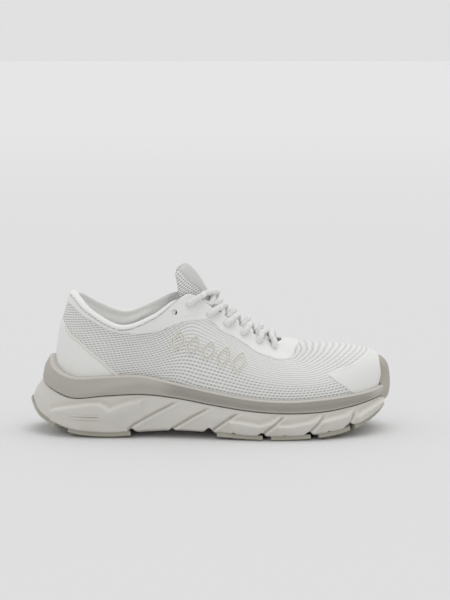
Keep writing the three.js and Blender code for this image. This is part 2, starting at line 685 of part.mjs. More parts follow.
// A round bar along a curve, with its two ends closed.
function bar(points, radii, sides = 8) {
  const tangents = points.map((p, i) =>
    points[Math.min(i + 1, points.length - 1)].clone().sub(points[Math.max(i - 1, 0)]).normalize(),
  );
  let across = new THREE.Vector3(0.3, 0.2, 1).cross(tangents[0]).normalize();
  const rings = points.map((p, i) => {
    across = across.clone().addScaledVector(tangents[i], -across.dot(tangents[i])).normalize();
    const other = new THREE.Vector3().crossVectors(tangents[i], across);
    return Array.from({ length: sides }, (_, k) => {
      const a = (2 * Math.PI * k) / sides;
      const spoke = across.clone().multiplyScalar(Math.cos(a)).addScaledVector(other, Math.sin(a));
      return p.clone().addScaledVector(spoke, radii[i]);
    });
  });
  const faces = joinRings(rings, {});
  const last = (points.length - 1) * sides;
  faces.push(...sectionCap(sides), ...sectionCap(sides).map((t) => t.map((k) => k + last).reverse()));
  return solidOf(rings.flat(), faces);
}

function makeLace(path) {
  const count = path.points.length * 2;
  const points = path.getPoints(count);
  return bar(points, points.map(() => LACE_R));
}

function makeAglet(path, t, direction) {
  const end = path.getPoint(t);
  const along = path.getTangent(t).multiplyScalar(direction);
  const places = [GAP, GAP + 1, AGLET_L - 2, AGLET_L];
  return bar(places.map((d) => end.clone().addScaledVector(along, d)), [1.9, 1.9, 1.6, 0.8]);
}

// ---- Assembly -----------------------------------------------------------------------------------------
const MATERIALS = {
  foam_white: { color: 0xe4e3dd, roughness: 0.85 },
  foam_greige: { color: 0xbdb8ae, roughness: 0.85 },
  rubber_grey: { color: 0x9c9a8c, roughness: 0.8 },
  board: { color: 0xd8d4c8, roughness: 0.95 },
  mesh: { color: 0xe9e9e6, roughness: 0.95 },
  film: { color: 0xe3e3df, roughness: 0.6 },
  plastic: { color: 0xcfcfca, roughness: 0.6 },
  padding: { color: 0xdcd9c8, roughness: 1 },
  lining: { color: 0xeceae6, roughness: 0.9 },
  label: { color: 0xbfc0bd, roughness: 0.7 },
  lace: { color: 0xf1f1ee, roughness: 0.85 },
};

const group = new THREE.Group();
group.name = "running_shoe";

function addPiece(name, material, solid) {
  const mesh = new THREE.Mesh(geometryOf(solid), new THREE.MeshStandardMaterial(MATERIALS[material]));
  mesh.name = name;
  mesh.material.name = `${name}_${material}`;
  group.add(mesh);
}

const holes = eyeletCutters();
const sheet = rubberSheet();
const lace = lacePath();
const FOREFOOT_PADS = [[149, 186], [193, 225], [232, 258]];
const REAR_PAD_PLAN = [[-30, -60], [18, -60], [24, 0], [18, 60], [-30, 60]];
const TOE_PAD_PLAN = [[266, -60], [300, -60], [300, 60], [266, 60]];
const LINING_U0 = 8.5;
const LINING_U1 = AROUND - LINING_U0;

addPiece("midsole_carrier", "foam_white", makeCarrier());
addPiece("midsole_rim", "foam_greige", makeRim());
addPiece("heel_rubber_rear", "rubber_grey", sheet.intersect(planBlock(REAR_PAD_PLAN)));
addPiece("heel_rubber_lateral", "rubber_grey", pad(sheet, 27, 78, -1, 8));
addPiece("heel_rubber_medial", "rubber_grey", pad(sheet, 27, 78, 1, 8));
FOREFOOT_PADS.forEach(([x0, x1], k) => {
  addPiece(`forefoot_rubber_lateral_${k + 1}`, "rubber_grey", pad(sheet, x0, x1, -1));
  addPiece(`forefoot_rubber_medial_${k + 1}`, "rubber_grey", pad(sheet, x0, x1, 1));
});
addPiece("toe_rubber", "rubber_grey", sheet.intersect(planBlock(TOE_PAD_PLAN)));
addPiece("toe_bumper", "rubber_grey", makeBumper());
addPiece("strobel_board", "board", makeBoard());
addPiece("sockliner", "padding", makeSockliner());

const puff = layer(-2.5, 2.5, levelsBetween(0.07, 0.42), INSIDE_MESH, INSIDE_MESH - PUFF_T);
const counter = layer(10.5, 15.5, levelsBetween(0.07, 0.42), INSIDE_MESH, INSIDE_MESH - COUNTER_T);
const tape = layer(-8, 8, levelsBetween(0.7, 1), INSIDE_MESH, INSIDE_MESH - REINFORCEMENT_T);
const foam = layer(LINING_U0, LINING_U1, levelsBetween(0.56, 1), INSIDE_MESH, insidePacking);
const lining = layer(LINING_U0, LINING_U1, levelsBetween(0.07, 1), liningOuter, liningInner);
addPiece("mesh_upper", "mesh", layer(0, AROUND, LEVELS, 0, -MESH_T).subtract(holes));
addPiece("toe_cap", "film", overlay(-4.5, 4.5, V_RIM, 0.7, TOE_CAP_OUTLINE));
addPiece("toe_puff", "plastic", puff);
addPiece("heel_overlay", "film", overlay(9, 17, V_RIM, 0.7, HEEL_OVERLAY_OUTLINE));
addPiece("heel_tab", "film", layer(10, 16, levelsBetween(0.92, 1), GAP + OVERLAY_T, GAP));
addPiece("heel_counter", "plastic", counter);
addPiece("eyestay_overlay", "film", overlay(-11, 11, 0.42, 1, EYESTAY_OUTLINE).subtract(holes));
addPiece("eyestay_reinforcement", "plastic", tape.subtract(holes));
addPiece("collar_foam", "padding", foam.subtract(holes));
addPiece("collar_lining", "lining", lining.subtract(holes));
addPiece("collar_roll", "lining", makeCollarRoll());

const underFoam = (s, w) => insideFace - foamThickness(s, w);
const behindFoam = (s, w) => underFoam(s, w) - GAP;
const tongueBack = (s, w) => behindFoam(s, w) - TONGUE_SKIN_T;
const labelFace = GAP + LABEL_T;
addPiece("tongue_face", "mesh", tongueLayer(0, 1, 1, () => 0, () => -TONGUE_SKIN_T));
addPiece("tongue_foam", "padding", tongueLayer(0, 1, 1, () => insideFace, underFoam));
addPiece("tongue_lining", "lining", tongueLayer(0, 1, 1, behindFoam, tongueBack));
addPiece("tongue_label", "label", tongueLayer(0.82, 0.985, 0.42, () => labelFace, () => GAP, 5, 4));
addPiece("shoelace", "lace", makeLace(lace));
addPiece("aglet_lateral", "plastic", makeAglet(lace, 0, -1));
addPiece("aglet_medial", "plastic", makeAglet(lace, 1, 1));

const box = new THREE.Box3().setFromObject(group);
const centre = box.getCenter(new THREE.Vector3());
for (const mesh of group.children) mesh.geometry.translate(-centre.x, -centre.y, -box.min.z);

export default group;
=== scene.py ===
# Running shoe: the visual model of a right-foot, lace-up running shoe, laid out as an add-on.
import math

import bmesh
import bpy
import numpy as np
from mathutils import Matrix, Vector


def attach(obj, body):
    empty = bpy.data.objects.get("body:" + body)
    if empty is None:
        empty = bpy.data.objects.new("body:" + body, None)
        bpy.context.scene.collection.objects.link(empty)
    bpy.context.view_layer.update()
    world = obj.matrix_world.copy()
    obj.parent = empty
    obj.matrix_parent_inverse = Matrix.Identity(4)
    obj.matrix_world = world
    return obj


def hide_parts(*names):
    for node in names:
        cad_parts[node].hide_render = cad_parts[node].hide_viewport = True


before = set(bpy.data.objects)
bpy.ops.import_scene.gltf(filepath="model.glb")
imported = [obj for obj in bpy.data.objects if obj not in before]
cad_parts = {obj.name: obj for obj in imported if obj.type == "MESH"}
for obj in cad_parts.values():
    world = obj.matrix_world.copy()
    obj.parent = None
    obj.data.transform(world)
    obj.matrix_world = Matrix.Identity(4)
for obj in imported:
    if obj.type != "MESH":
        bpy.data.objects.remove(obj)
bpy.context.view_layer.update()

bl_info = {
    "name": "Running Shoe",
    "version": (1, 0, 0),
    "blender": (4, 5, 0),
    "location": "View3D > Sidebar > Shoe",
    "description": "Builds a knitted running shoe piece by piece on its packed frame",
    "category": "Add Mesh",
}

# ---- The shoe's own measures, in millimetres ------------------------------------------------------------
# The shapes are laid out with the heel near x = 0 and then moved so that the model's box is centred.
CENTRE = np.array([148.449, -0.860, 0.0])
GAP = 0.3
MESH_T = 1.6
OVERLAY_T = 0.8
COUNTER_T = 1.8
REINFORCEMENT_T = 0.8
LINING_T = 0.9
PADDING_T = 7.5
FLOOR_T = 4.0
RUBBER_T = 3.0
BOARD_T = 1.6
SOCK_T = 4.2
SOCK_LIP = 4.5
V_RIM = 0.15
INSIDE_MESH = -(MESH_T + GAP)

# A row of ribs round the shoe: u counts them from 0 at the toe, along the lateral side to HEEL at the back,
# and on along the medial side. Each row is the plan x, y of the joint between the two foams, heights of the
# rim top and of that joint, height and flare of the sidewall's lower edge, height and inset of the ground
# face, height and inset of the footbed's edge, x, y, z of the collar or throat edge, how far out and up a rib
# starts, and how far out and down it arrives.
COLUMNS = (
    "x y top joint edge flare ground foot footbed feather tx ty tz out up over down"
).split()
STATIONS = np.array([
    [295.4, 4, 39.5, 31, 25, -1.5, 14.5, 12.5, 31, 6.6, 207.5, 1, 75.2, 15.5, 50, 49, 7],
    [289.5, -15, 38.2, 30.2, 22, -1, 11.5, 10.5, 30, 6.6, 207, -4.4, 75.2, 14, 47, 48, 8],
    [277.5, -29, 36.6, 28.2, 15.5, 0, 7, 8, 28, 6.4, 205, -9.4, 74.9, 12, 41, 43, 10],
    [262, -39.5, 35.3, 25.6, 10.5, 0.6, 3.6, 5.5, 26, 6.2, 201.5, -12.8, 74.2, 10, 34, 33, 14],
    [240, -48.4, 33.8, 23, 6.6, 1, 0.6, 4, 24, 6, 197, -15, 74.8, 8, 30, 23, 18],
    [212, -52.5, 32.5, 22.3, 5, 1, -0.6, 3.6, 22.6, 6, 184, -17, 81.6, 7, 30, 18, 20],
    [182, -51.6, 34, 23.9, 5, 1, -0.4, 3.6, 24, 6, 167, -18, 91.8, 7, 30, 14, 19],
    [150, -47.6, 39.2, 28.3, 7, 0.6, 1.4, 4, 28.3, 6, 148, -18.2, 104.6, 6, 30, 12, 18],
    [120, -43, 45.4, 33.3, 8, 0.6, 2.4, 4.4, 33.6, 6.2, 128, -20, 115, 5, 28, 9, 20],
    [92, -41, 51.4, 36, 7, 0.8, 1, 4, 38.2, 6.8, 101, -30, 97.2, 4, 22, 5, 20],
    [62, -41.8, 51, 35, 5.5, 1, -0.4, 4.4, 39.5, 7.4, 74, -32.4, 88.4, 4, 20, 2.5, 18],
    [34, -37.2, 49.6, 32.4, 8, 2.5, 1, 5, 39.8, 8.6, 47.5, -25.6, 101, 3, 25, 4, 18],
    [14, -22.5, 56.5, 38.6, 17, 6.5, 5, 7.5, 40.2, 10.6, 35, -12.4, 111.6, 2.5, 30, 7, 19],
    [6.8, 0, 63.4, 43.2, 27.5, 8.2, 9.5, 10, 40.5, 12.6, 31, 0, 114, 2.2, 31.5, 8, 20],
    [14, 22.5, 56.5, 38.6, 17, 6.5, 5, 7.5, 40.2, 10.6, 35, 12.4, 112, 2.5, 30, 7, 19],
    [34, 36.8, 49.6, 32.4, 8, 2.5, 1, 5, 39.8, 8.6, 47.5, 25.6, 103.4, 3, 25, 4, 18],
    [62, 39.8, 51.6, 35, 5.5, 1, -0.4, 4.4, 39.5, 7.4, 74, 31.8, 92.8, 4, 20, 2.5, 18],
    [92, 36.4, 52.6, 36.6, 7, 0.8, 1, 4, 38.6, 6.8, 99.5, 29.4, 101, 3.5, 22, 5, 20],
    [120, 36.2, 47.4, 34.6, 8, 0.6, 2.4, 4.4, 34.2, 6.2, 127.5, 20, 115.4, 5, 28, 9, 20],
    [150, 40.4, 40.6, 29.4, 7, 0.6, 1.4, 4, 28.8, 6, 148, 18.4, 105, 6.5, 30, 12, 18],
    [180, 46.6, 34.8, 24.4, 5, 1, -0.4, 3.6, 24.2, 6, 167, 18.4, 92.2, 7, 30, 14, 19],
    [210, 50.8, 32.8, 22.4, 5, 1, -0.6, 3.6, 22.6, 6, 184, 17.6, 81.9, 7, 30, 18, 20],
    [238, 49.6, 33.8, 23, 6.6, 1, 0.6, 4, 24, 6, 197, 16, 75, 8, 30, 23, 18],
    [260, 43.6, 35.3, 25.6, 10.5, 0.6, 3.6, 5.5, 26, 6.2, 201.5, 13.8, 74.4, 10, 34, 33, 14],
    [276, 34.8, 36.6, 28.2, 15.5, 0, 7, 8, 28, 6.4, 205, 10.6, 75, 12, 41, 43, 10],
    [288.5, 21.5, 38.2, 30.2, 22, -1, 11.5, 10.5, 30, 6.6, 207, 6.2, 75.3, 14, 47, 48, 8],
])
AROUND = len(STATIONS)
HEEL = 13


def to_frame(points):
    """Layout millimetres to metres in the model's frame: take away the middle and divide by a thousand."""
    return (np.asarray(points, float) - CENTRE) / 1000.0


def unit(vectors):
    """Each vector divided by its length."""
    return vectors / np.maximum(np.linalg.norm(vectors, axis=-1, keepdims=True), 1e-9)


def ease(x, low, high):
    """Smooth step: 0 below low, 1 above high, 3t^2 - 2t^3 between."""
    t = np.clip((x - low) / (high - low), 0, 1)
    return t * t * (3 - 2 * t)


def bell(x, middle, width):
    """A bell curve of height 1: e to the minus ((x - middle) / width) squared."""
    return np.exp(-(((x - middle) / width) ** 2))


def column(name, u):
    """One column of the table at any u: the closed Catmull-Rom cubic through its rows."""
    values = STATIONS[:, COLUMNS.index(name)]
    u = np.asarray(u, float)
    i = np.floor(u).astype(int)
    f = u - i
    a, b, c, d = (values[(i + k) % AROUND] for k in (-1, 0, 1, 2))
    return b + 0.5 * f * (c - a + f * (2 * a - 5 * b + 4 * c - d + f * (3 * (b - c) + d - a)))


def plan_normal(u):
    """Outward normal of the sole's outline in plan: its tangent turned a quarter turn."""
    step = 0.01
    dx = column("x", u + step) - column("x", u - step)
    dy = column("y", u + step) - column("y", u - step)
    return unit(np.stack([-dy, dx], -1))


def outline(u, inset, z):
    """The sole's outline moved in along its normal by inset, at height z."""
    u, inset, z = np.broadcast_arrays(np.asarray(u, float), inset, z)
    n = plan_normal(u)
    return np.stack(
        [column("x", u) - n[..., 0] * inset, column("y", u) - n[..., 1] * inset, z + 0.0], -1
    )


def bezier(p, t):
    """The cubic Bezier curve of four control points at t."""
    t = t[..., None]
    s = 1 - t
    return s**3 * p[0] + 3 * s * s * t * p[1] + 3 * s * t * t * p[2] + t**3 * p[3]


def ribs(u):
    """The four control points of the rib at u, from the feather edge to the collar or throat edge."""
    low = outline(u, column("feather", u), column("footbed", u))
    high = np.stack([column("tx", u), column("ty", u), column("tz", u)], -1)
    away = low - high
    away[..., 2] = 0
    away = unit(away)
    up = np.array([0, 0, 1.0])
    start = low + away * column("out", u)[..., None] + up * column("up", u)[..., None]
    arrival = high + away * column("over", u)[..., None] - up * column("down", u)[..., None]
    return low, start, arrival, high


def rim_share(rib, height):
    """Where on the rib the top of the sole lies, by halving the interval 24 times."""
    low = np.zeros(height.shape)
    high = low + 0.5
    for _ in range(24):
        middle = (low + high) / 2
        below = bezier(rib, middle)[..., 2] < height
        low = np.where(below, middle, low)
        high = np.where(below, high, middle)
    return low


def on_upper(u, v):
    """The upper's face: along the rib at u, v runs from 0 at its foot, through V_RIM at the sole, to 1."""
    u, v = np.broadcast_arrays(np.asarray(u, float), np.asarray(v, float))
    rib = ribs(u)
    rim = rim_share(rib, column("top", u))
    share = np.where(v < V_RIM, v / V_RIM * rim, rim + (v - V_RIM) / (1 - V_RIM) * (1 - rim))
    return bezier(rib, share)


def upper_frame(u, v):
    """The upper's point, outward normal and direction of rising v, by differences a hundredth apart."""
    u, v = np.broadcast_arrays(np.asarray(u, float), np.asarray(v, float))
    step = 0.01
    along = on_upper(u + step, v) - on_upper(u - step, v)
    rise = on_upper(u, np.minimum(1, v + step)) - on_upper(u, np.maximum(0, v - step))
    return on_upper(u, v), unit(np.cross(rise, along)), unit(rise)


def upper(u, v, offset=0.0, lift=0.0):
    """A point of the upper moved out along its normal by offset and on along its rise by lift."""
    point, normal, rise = upper_frame(u, v)
    return point + normal * np.asarray(offset)[..., None] + rise * np.asarray(lift)[..., None]


def v_below_edge(u, distance):
    """The v of the points that lie a distance below the edge, measured along their ribs."""
    v = np.linspace(1, V_RIM, 400)
    points = on_upper(np.asarray(u)[:, None], v[None, :])
    steps = np.linalg.norm(np.diff(points, axis=1), axis=-1)
    lengths = np.concatenate([np.zeros((len(u), 1)), np.cumsum(steps, axis=1)], axis=1)
    return np.array([np.interp(d, row, v) for d, row in zip(distance, lengths)])


def smooth_curve(points, count):
    """A centripetal Catmull-Rom curve through the points, sampled evenly in its own parameter."""
    points = np.asarray(points, float)
    first = 2 * points[0] - points[1]
    last = 2 * points[-1] - points[-2]
    padded = np.concatenate([[first], points, [last]])
    spans = len(padded) - 3
    t = np.linspace(0, spans, count)
    i = np.minimum(t.astype(int), spans - 1)
    f = (t - i)[:, None]
    p0, p1, p2, p3 = (padded[i + k] for k in range(4))
    gaps = [
        np.maximum(np.linalg.norm(b - a, axis=-1, keepdims=True) ** 0.5, 1e-4)
        for a, b in ((p0, p1), (p1, p2), (p2, p3))
    ]
    d0, d1, d2 = gaps
    m1 = ((p1 - p0) / d0 - (p2 - p0) / (d0 + d1) + (p2 - p1) / d1) * d1
    m2 = ((p2 - p1) / d1 - (p3 - p1) / (d1 + d2) + (p3 - p2) / d2) * d1
    f2, f3 = f * f, f * f * f
    return (
        (2 * f3 - 3 * f2 + 1) * p1 + (f3 - 2 * f2 + f) * m1 + (3 * f2 - 2 * f3) * p2 + (f3 - f2) * m2
    )


def edge_function(points):
    """v as a function of u along a drawn edge: the smooth curve through the points, read off by u."""
    curve = smooth_curve(points, 400)
    order = np.argsort(curve[:, 0])
    us, vs = curve[order, 0], curve[order, 1]
    return lambda u: np.interp(u, us, vs)


def path_distance(x, z, path):
    """Distance from each (x, z) to a line through the path's points, and the height above it."""
    a, b = np.asarray(path[:-1], float), np.asarray(path[1:], float)
    p = np.stack([x, z], -1)[..., None, :]
    along = b - a
    t = np.clip(((p - a) * along).sum(-1) / (along**2).sum(-1), 0, 1)
    gap = p - (a + along * t[..., None])
    lengths = np.linalg.norm(gap, axis=-1)
    nearest = lengths.argmin(-1)
    above = np.take_along_axis(gap[..., 1], nearest[..., None], -1)[..., 0]
    return lengths.min(-1), above


# ---- Meshes ---------------------------------------------------------------------------------------------
MERGE_DISTANCE = 1e-6


def lattice(rows, columns):
    """Quads of a rows by columns lattice of points numbered row by row."""
    r, c = np.meshgrid(np.arange(rows - 1), np.arange(columns - 1), indexing="ij")
    r, c = r.ravel(), c.ravel()
    first = r * columns + c
    return np.stack([first, first + 1, first + columns + 1, first + columns], -1)


def lengths_along(points, axis):
    """Running length of a grid of points along one axis, from 0 at its start."""
    steps = np.linalg.norm(np.diff(points, axis=axis), axis=-1)
    start = np.zeros_like(np.take(points[..., 0], [0], axis=axis))
    return np.concatenate([start, np.cumsum(steps, axis=axis)], axis=axis)


class Shape:
    """Grids of points gathered into one mesh, with a UV map in millimetres and named masks."""

    def __init__(self):
        self.points, self.faces, self.uvs, self.masks, self.count = [], [], [], {}, 0

    def add(self, points, faces, uv, **masks):
        """Appends points and faces; a mask that is not given for them is 0 there."""
        points = np.asarray(points, float).reshape(-1, 3)
        for name in {**self.masks, **masks}:
            value = np.asarray(masks.get(name, 0.0), float).ravel()
            so_far = self.masks.setdefault(name, [np.zeros(self.count)])
            so_far.append(np.broadcast_to(value, len(points)) if value.size == 1 else value)
        self.points.append(points)
        self.faces.append(np.asarray(faces) + self.count)
        self.uvs.append(np.asarray(uv, float).reshape(-1, 2))
        self.count += len(points)
        return self

    def grid(self, points, uv=None, keep=None, **masks):
        """A lattice of points; keep is a mask of its quads."""
        rows, columns = points.shape[:2]
        faces = lattice(rows, columns)
        if keep is not None:
            faces = faces[keep.ravel()]
        if uv is None:
            uv = np.stack([lengths_along(points, 0), lengths_along(points, 1)], -1)
        return self.add(points, faces, uv, **masks)

    def slab(self, outer, inner):
        """Two lattices of one size, one over the other, and the four strips that join their borders."""
        self.grid(outer).grid(inner)
        for border in ((0,), (-1,), (slice(None), 0), (slice(None), -1)):
            self.grid(np.stack([outer[border], inner[border]]))

    def finish(self, name, body, slot, kind, replaced, sharp):
        """Makes the object with a finish of the kind named: doubles merged, faces turned outwards, shaded
        smooth where faces meet at less than the sharp angle, in degrees."""
        points = to_frame(np.concatenate(self.points))
        faces = np.concatenate(self.faces)
        mesh = bpy.data.meshes.new(name)
        mesh.vertices.add(len(points))
        mesh.vertices.foreach_set("co", points.astype(np.float32).ravel())
        mesh.loops.add(faces.size)
        mesh.loops.foreach_set("vertex_index", faces.astype(np.int32).ravel())
        mesh.polygons.add(len(faces))
        mesh.polygons.foreach_set("loop_start", np.arange(0, faces.size, faces.shape[1], dtype=np.int32))
        mesh.update(calc_edges=True)
        uv = np.concatenate(self.uvs)[faces.ravel()]
        mesh.uv_layers.new(name="UVMap").data.foreach_set("uv", uv.astype(np.float32).ravel())
        for mask, parts in self.masks.items():
            layer = mesh.attributes.new(mask, "FLOAT", "POINT")
            layer.data.foreach_set("value", np.concatenate(parts).astype(np.float32))
        work = bmesh.new()
        work.from_mesh(mesh)
        bmesh.ops.remove_doubles(work, verts=work.verts, dist=MERGE_DISTANCE)
        bmesh.ops.dissolve_degenerate(work, edges=work.edges, dist=MERGE_DISTANCE)
        loose = [v for v in work.verts if not v.link_faces]
        bmesh.ops.delete(work, geom=loose, context="VERTS")
        bmesh.ops.recalc_face_normals(work, faces=work.faces)
        work.to_mesh(mesh)
        work.free()
        mesh.polygons.foreach_set("use_smooth", np.ones(len(mesh.polygons), bool))
        mesh.set_sharp_from_angle(angle=math.radians(sharp))
        mesh.materials.append(finish_of(kind))
        piece = bpy.data.objects.new(name, mesh)
        bpy.context.scene.collection.objects.link(piece)
        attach(piece, body)
        if replaced:
            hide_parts(*replaced)
        return piece


def cross_lines(ring, cells):
    """A lattice over a ring that starts and ends at the heel: straight lines from side to side."""
    half = len(ring) // 2
    left, right = ring[: half + 1], ring[::-1][: half + 1]
    t = np.linspace(0, 1, cells + 1)[None, :, None]
    return left[:, None] * (1 - t) + right[:, None] * t


def tube(path, radii, sides, closed=False):
    """A tube along a path. Each ring's first spoke is carried along without twist: a fixed reference gives
    a frame at every point, and the running sum of its turn against the carried one is taken away."""
    path = np.asarray(path, float)
    if closed:
        tangent = unit(np.roll(path, -1, 0) - np.roll(path, 1, 0))
    else:
        tangent = unit(np.gradient(path, axis=0))
    spoke = unit(np.cross(np.array([0.31, 0.21, 0.93]), tangent))
    other = np.cross(tangent, spoke)
    axis = np.cross(tangent[:-1], tangent[1:])
    sine = np.linalg.norm(axis, axis=-1, keepdims=True)
    cosine = (tangent[:-1] * tangent[1:]).sum(-1, keepdims=True)
    axis = axis / np.maximum(sine, 1e-9)
    s = spoke[:-1]
    along_axis = axis * (axis * s).sum(-1, keepdims=True)
    carried = s * cosine + np.cross(axis, s) * sine + along_axis * (1 - cosine)
    turn = np.arctan2((carried * other[1:]).sum(-1), (carried * spoke[1:]).sum(-1))
    theta = np.concatenate([[0], np.cumsum(turn)])[:, None]
    first = spoke * np.cos(theta) + other * np.sin(theta)
    second = np.cross(tangent, first)
    around = np.linspace(0, 2 * np.pi, sides + 1)
    circle = np.stack([np.cos(around), np.sin(around)], -1)
    radii = np.broadcast_to(radii, len(path))[:, None, None]
    points = path[:, None] + radii * (
        first[:, None] * circle[None, :, :1] + second[:, None] * circle[None, :, 1:]
    )
    length = np.concatenate([[0], np.cumsum(np.linalg.norm(np.diff(path, axis=0), axis=-1))])
    uv = np.stack(np.broadcast_arrays(length[:, None], (around / (2 * np.pi))[None, :]), -1)
    if closed:
        points = np.concatenate([points, points[:1]])
        uv = np.concatenate([uv, uv[:1]])
    return points, uv


def capped(path, radii):
    """The path and radii of a tube with domed ends: extra rings shrink to nothing past each end."""
    blunt = 0.6
    path = np.asarray(path, float)
    radii = np.broadcast_to(np.asarray(radii, float), len(path))
    angle = np.linspace(0, np.pi / 2, 5)[1:]
    start = unit(path[0] - path[1]) * radii[0] * blunt
    end = unit(path[-1] - path[-2]) * radii[-1] * blunt
    head = path[0] + np.sin(angle[::-1])[:, None] * start
    tail = path[-1] + np.sin(angle)[:, None] * end
    return (
        np.concatenate([head, path, tail]),
        np.concatenate([radii[0] * np.cos(angle[::-1]), radii, radii[-1] * np.cos(angle)]),
    )


# ---- Shading --------------------------------------------------------------------------------------------


class Wiring:
    """Adds nodes to one node tree; a value may be a number or another node's output."""

    def __init__(self, tree):
        self.tree = tree

    def node(self, kind, inputs=(), **settings):
        made = self.tree.nodes.new(kind)
        for key, value in settings.items():
            setattr(made, key, value)
        for key, value in dict(inputs).items():
            self.feed(made.inputs[key], value)
        return made

    def feed(self, socket, value):
        if isinstance(value, bpy.types.NodeSocket):
            self.tree.links.new(value, socket)
        else:
            socket.default_value = value

    def math(self, operation, *values):
        return self.node("ShaderNodeMath", dict(enumerate(values)), operation=operation).outputs[0]

    def step(self, value, low, high, to_low=0.0, to_high=1.0):
        """A smooth step from to_low below low to to_high above high."""
        inputs = {"Value": value, "From Min": low, "From Max": high, "To Min": to_low, "To Max": to_high}
        return self.node("ShaderNodeMapRange", inputs, interpolation_type="SMOOTHSTEP").outputs[0]

    def blend(self, share, a, b):
        return self.node("ShaderNodeMix", {0: share, 6: a, 7: b}, data_type="RGBA").outputs[2]

    def darken(self, colour, factor):
        """The colour with its brightness multiplied by factor."""
        return self.node("ShaderNodeHueSaturation", {"Color": colour, "Value": factor}).outputs[0]

    def mask(self, name):
        return self.node("ShaderNodeAttribute", attribute_name=name).outputs["Fac"]

    def map_uv(self):
        """The piece's map, in millimetres: along it and up it."""
        held = self.node("ShaderNodeUVMap", uv_map="UVMap").outputs[0]
        split = self.node("ShaderNodeSeparateXYZ", {0: held})
        return split.outputs[0], split.outputs[1]

    def group(self, name, **inputs):
        """Places a shared group with its own values."""
        placed = self.node("ShaderNodeGroup", node_tree=bpy.data.node_groups[name])
        for key, value in inputs.items():
            self.feed(placed.inputs[key.replace("_", " ")], value)
        return placed.outputs


def shared_group(name, inputs, outputs, wire):
    """A shader node group with named sockets; wire(w, inputs) returns its outputs by name."""
    tree = bpy.data.node_groups.new(name, "ShaderNodeTree")
    for label, kind, default in inputs:
        socket = tree.interface.new_socket(label, in_out="INPUT", socket_type=kind)
        socket.default_value = default
    for label, kind in outputs:
        tree.interface.new_socket(label, in_out="OUTPUT", socket_type=kind)
    w = Wiring(tree)
    entry = w.node("NodeGroupInput")
    made = wire(w, entry.outputs)
    leave = w.node("NodeGroupOutput")
    for label, value in made.items():
        w.feed(leave.inputs[label], value)
    return tree


# Distance between neighbouring gaps of the knit, and between its rows, in millimetres.
KNIT_PITCH = 2.9
KNIT_ROW = 2.15
NUMBER, COLOUR = "NodeSocketFloat", "NodeSocketColor"
WHITE = (1.0, 1.0, 1.0, 1.0)


def wire_knit(w, inputs):
    """Quarter knit: rows of staggered slanting gaps. Fore knit: the same rows run on as shallow valleys."""
    along, up, zone = inputs["Along"], inputs["Up"], inputs["Ridges"]
    gap_slant, gap_half_width, gap_half_height = 0.7, 1.25, 0.52
    rows = w.math("DIVIDE", up, KNIT_ROW)
    stagger = w.math("MULTIPLY", w.math("MODULO", w.math("FLOOR", rows), 2.0), 0.5)
    cell = w.math("ADD", w.math("DIVIDE", along, KNIT_PITCH), stagger)
    a = w.math("MULTIPLY", w.math("SUBTRACT", w.math("FRACT", cell), 0.5), KNIT_PITCH)
    b = w.math("MULTIPLY", w.math("SUBTRACT", w.math("FRACT", rows), 0.5), KNIT_ROW)
    across = w.math("DIVIDE", w.math("ADD", a, w.math("MULTIPLY", b, gap_slant)), gap_half_width)
    rise = w.math("DIVIDE", b, gap_half_height)
    gap = w.math("SQRT", w.math("ADD", w.math("POWER", across, 2.0), w.math("POWER", rise, 2.0)))
    hole = w.step(gap, 0.5, 1.1, 1.0, 0.0)
    zigzag = w.math("PINGPONG", w.math("DIVIDE", along, KNIT_PITCH / 2), 1.0)
    sway = w.math("MULTIPLY", w.math("SUBTRACT", zigzag, 0.5), 0.5)
    wave = w.math("DIVIDE", w.math("ADD", up, sway), KNIT_ROW)
    ridge = w.math("ABSOLUTE", w.math("SUBTRACT", w.math("FRACT", wave), 0.5))
    fading = w.math("SUBTRACT", 1.0, w.math("MULTIPLY", zigzag, 0.3))
    valley = w.math("MULTIPLY", w.step(ridge, 0.02, 0.24, 0.62, 0.0), fading)
    low = w.node("ShaderNodeMix", {0: zone, 2: hole, 3: valley}).outputs[0]
    strand = w.math("SINE", w.math("MULTIPLY", w.math("ADD", along, w.math("MULTIPLY", up, 0.6)), 7.5))
    height = w.math("ADD", w.math("SUBTRACT", 1.0, low), w.math("MULTIPLY", strand, 0.06))
    # Shade marks the gaps and valleys, which the finish paints darker: painted shade.
    return {"Height": height, "Shade": low}


def wire_weave(w, inputs):
    """A plain weave: the crossing of two sine waves of one pitch."""
    turn = w.math("DIVIDE", 2 * math.pi, inputs["Pitch"])
    a = w.math("SINE", w.math("MULTIPLY", inputs["Along"], turn))
    b = w.math("SINE", w.math("MULTIPLY", inputs["Up"], turn))
    height = w.math("ADD", 0.5, w.math("MULTIPLY", w.math("MULTIPLY", a, b), 0.5))
    return {"Height": height, "Shade": w.math("SUBTRACT", 1.0, height)}


def wire_grain(w, inputs):
    """Fine and broad noise in Object space: a height, and a tint that varies slowly."""
    place = w.node("ShaderNodeTexCoord").outputs["Object"]
    fine = w.node("ShaderNodeTexNoise", {"Vector": place, "Scale": inputs["Scale"], "Detail": 4.0}).outputs[0]
    broad = w.node("ShaderNodeTexNoise", {"Vector": place, "Scale": 18.0, "Detail": 2.0}).outputs[0]
    spread = w.math("MULTIPLY", w.math("SUBTRACT", broad, 0.5), inputs["Variation"])
    value = w.math("ADD", 1.0, w.math("ADD", spread, w.math("MULTIPLY", w.math("SUBTRACT", fine, 0.5), 0.04)))
    return {"Height": fine, "Color": w.darken(inputs["Color"], value)}


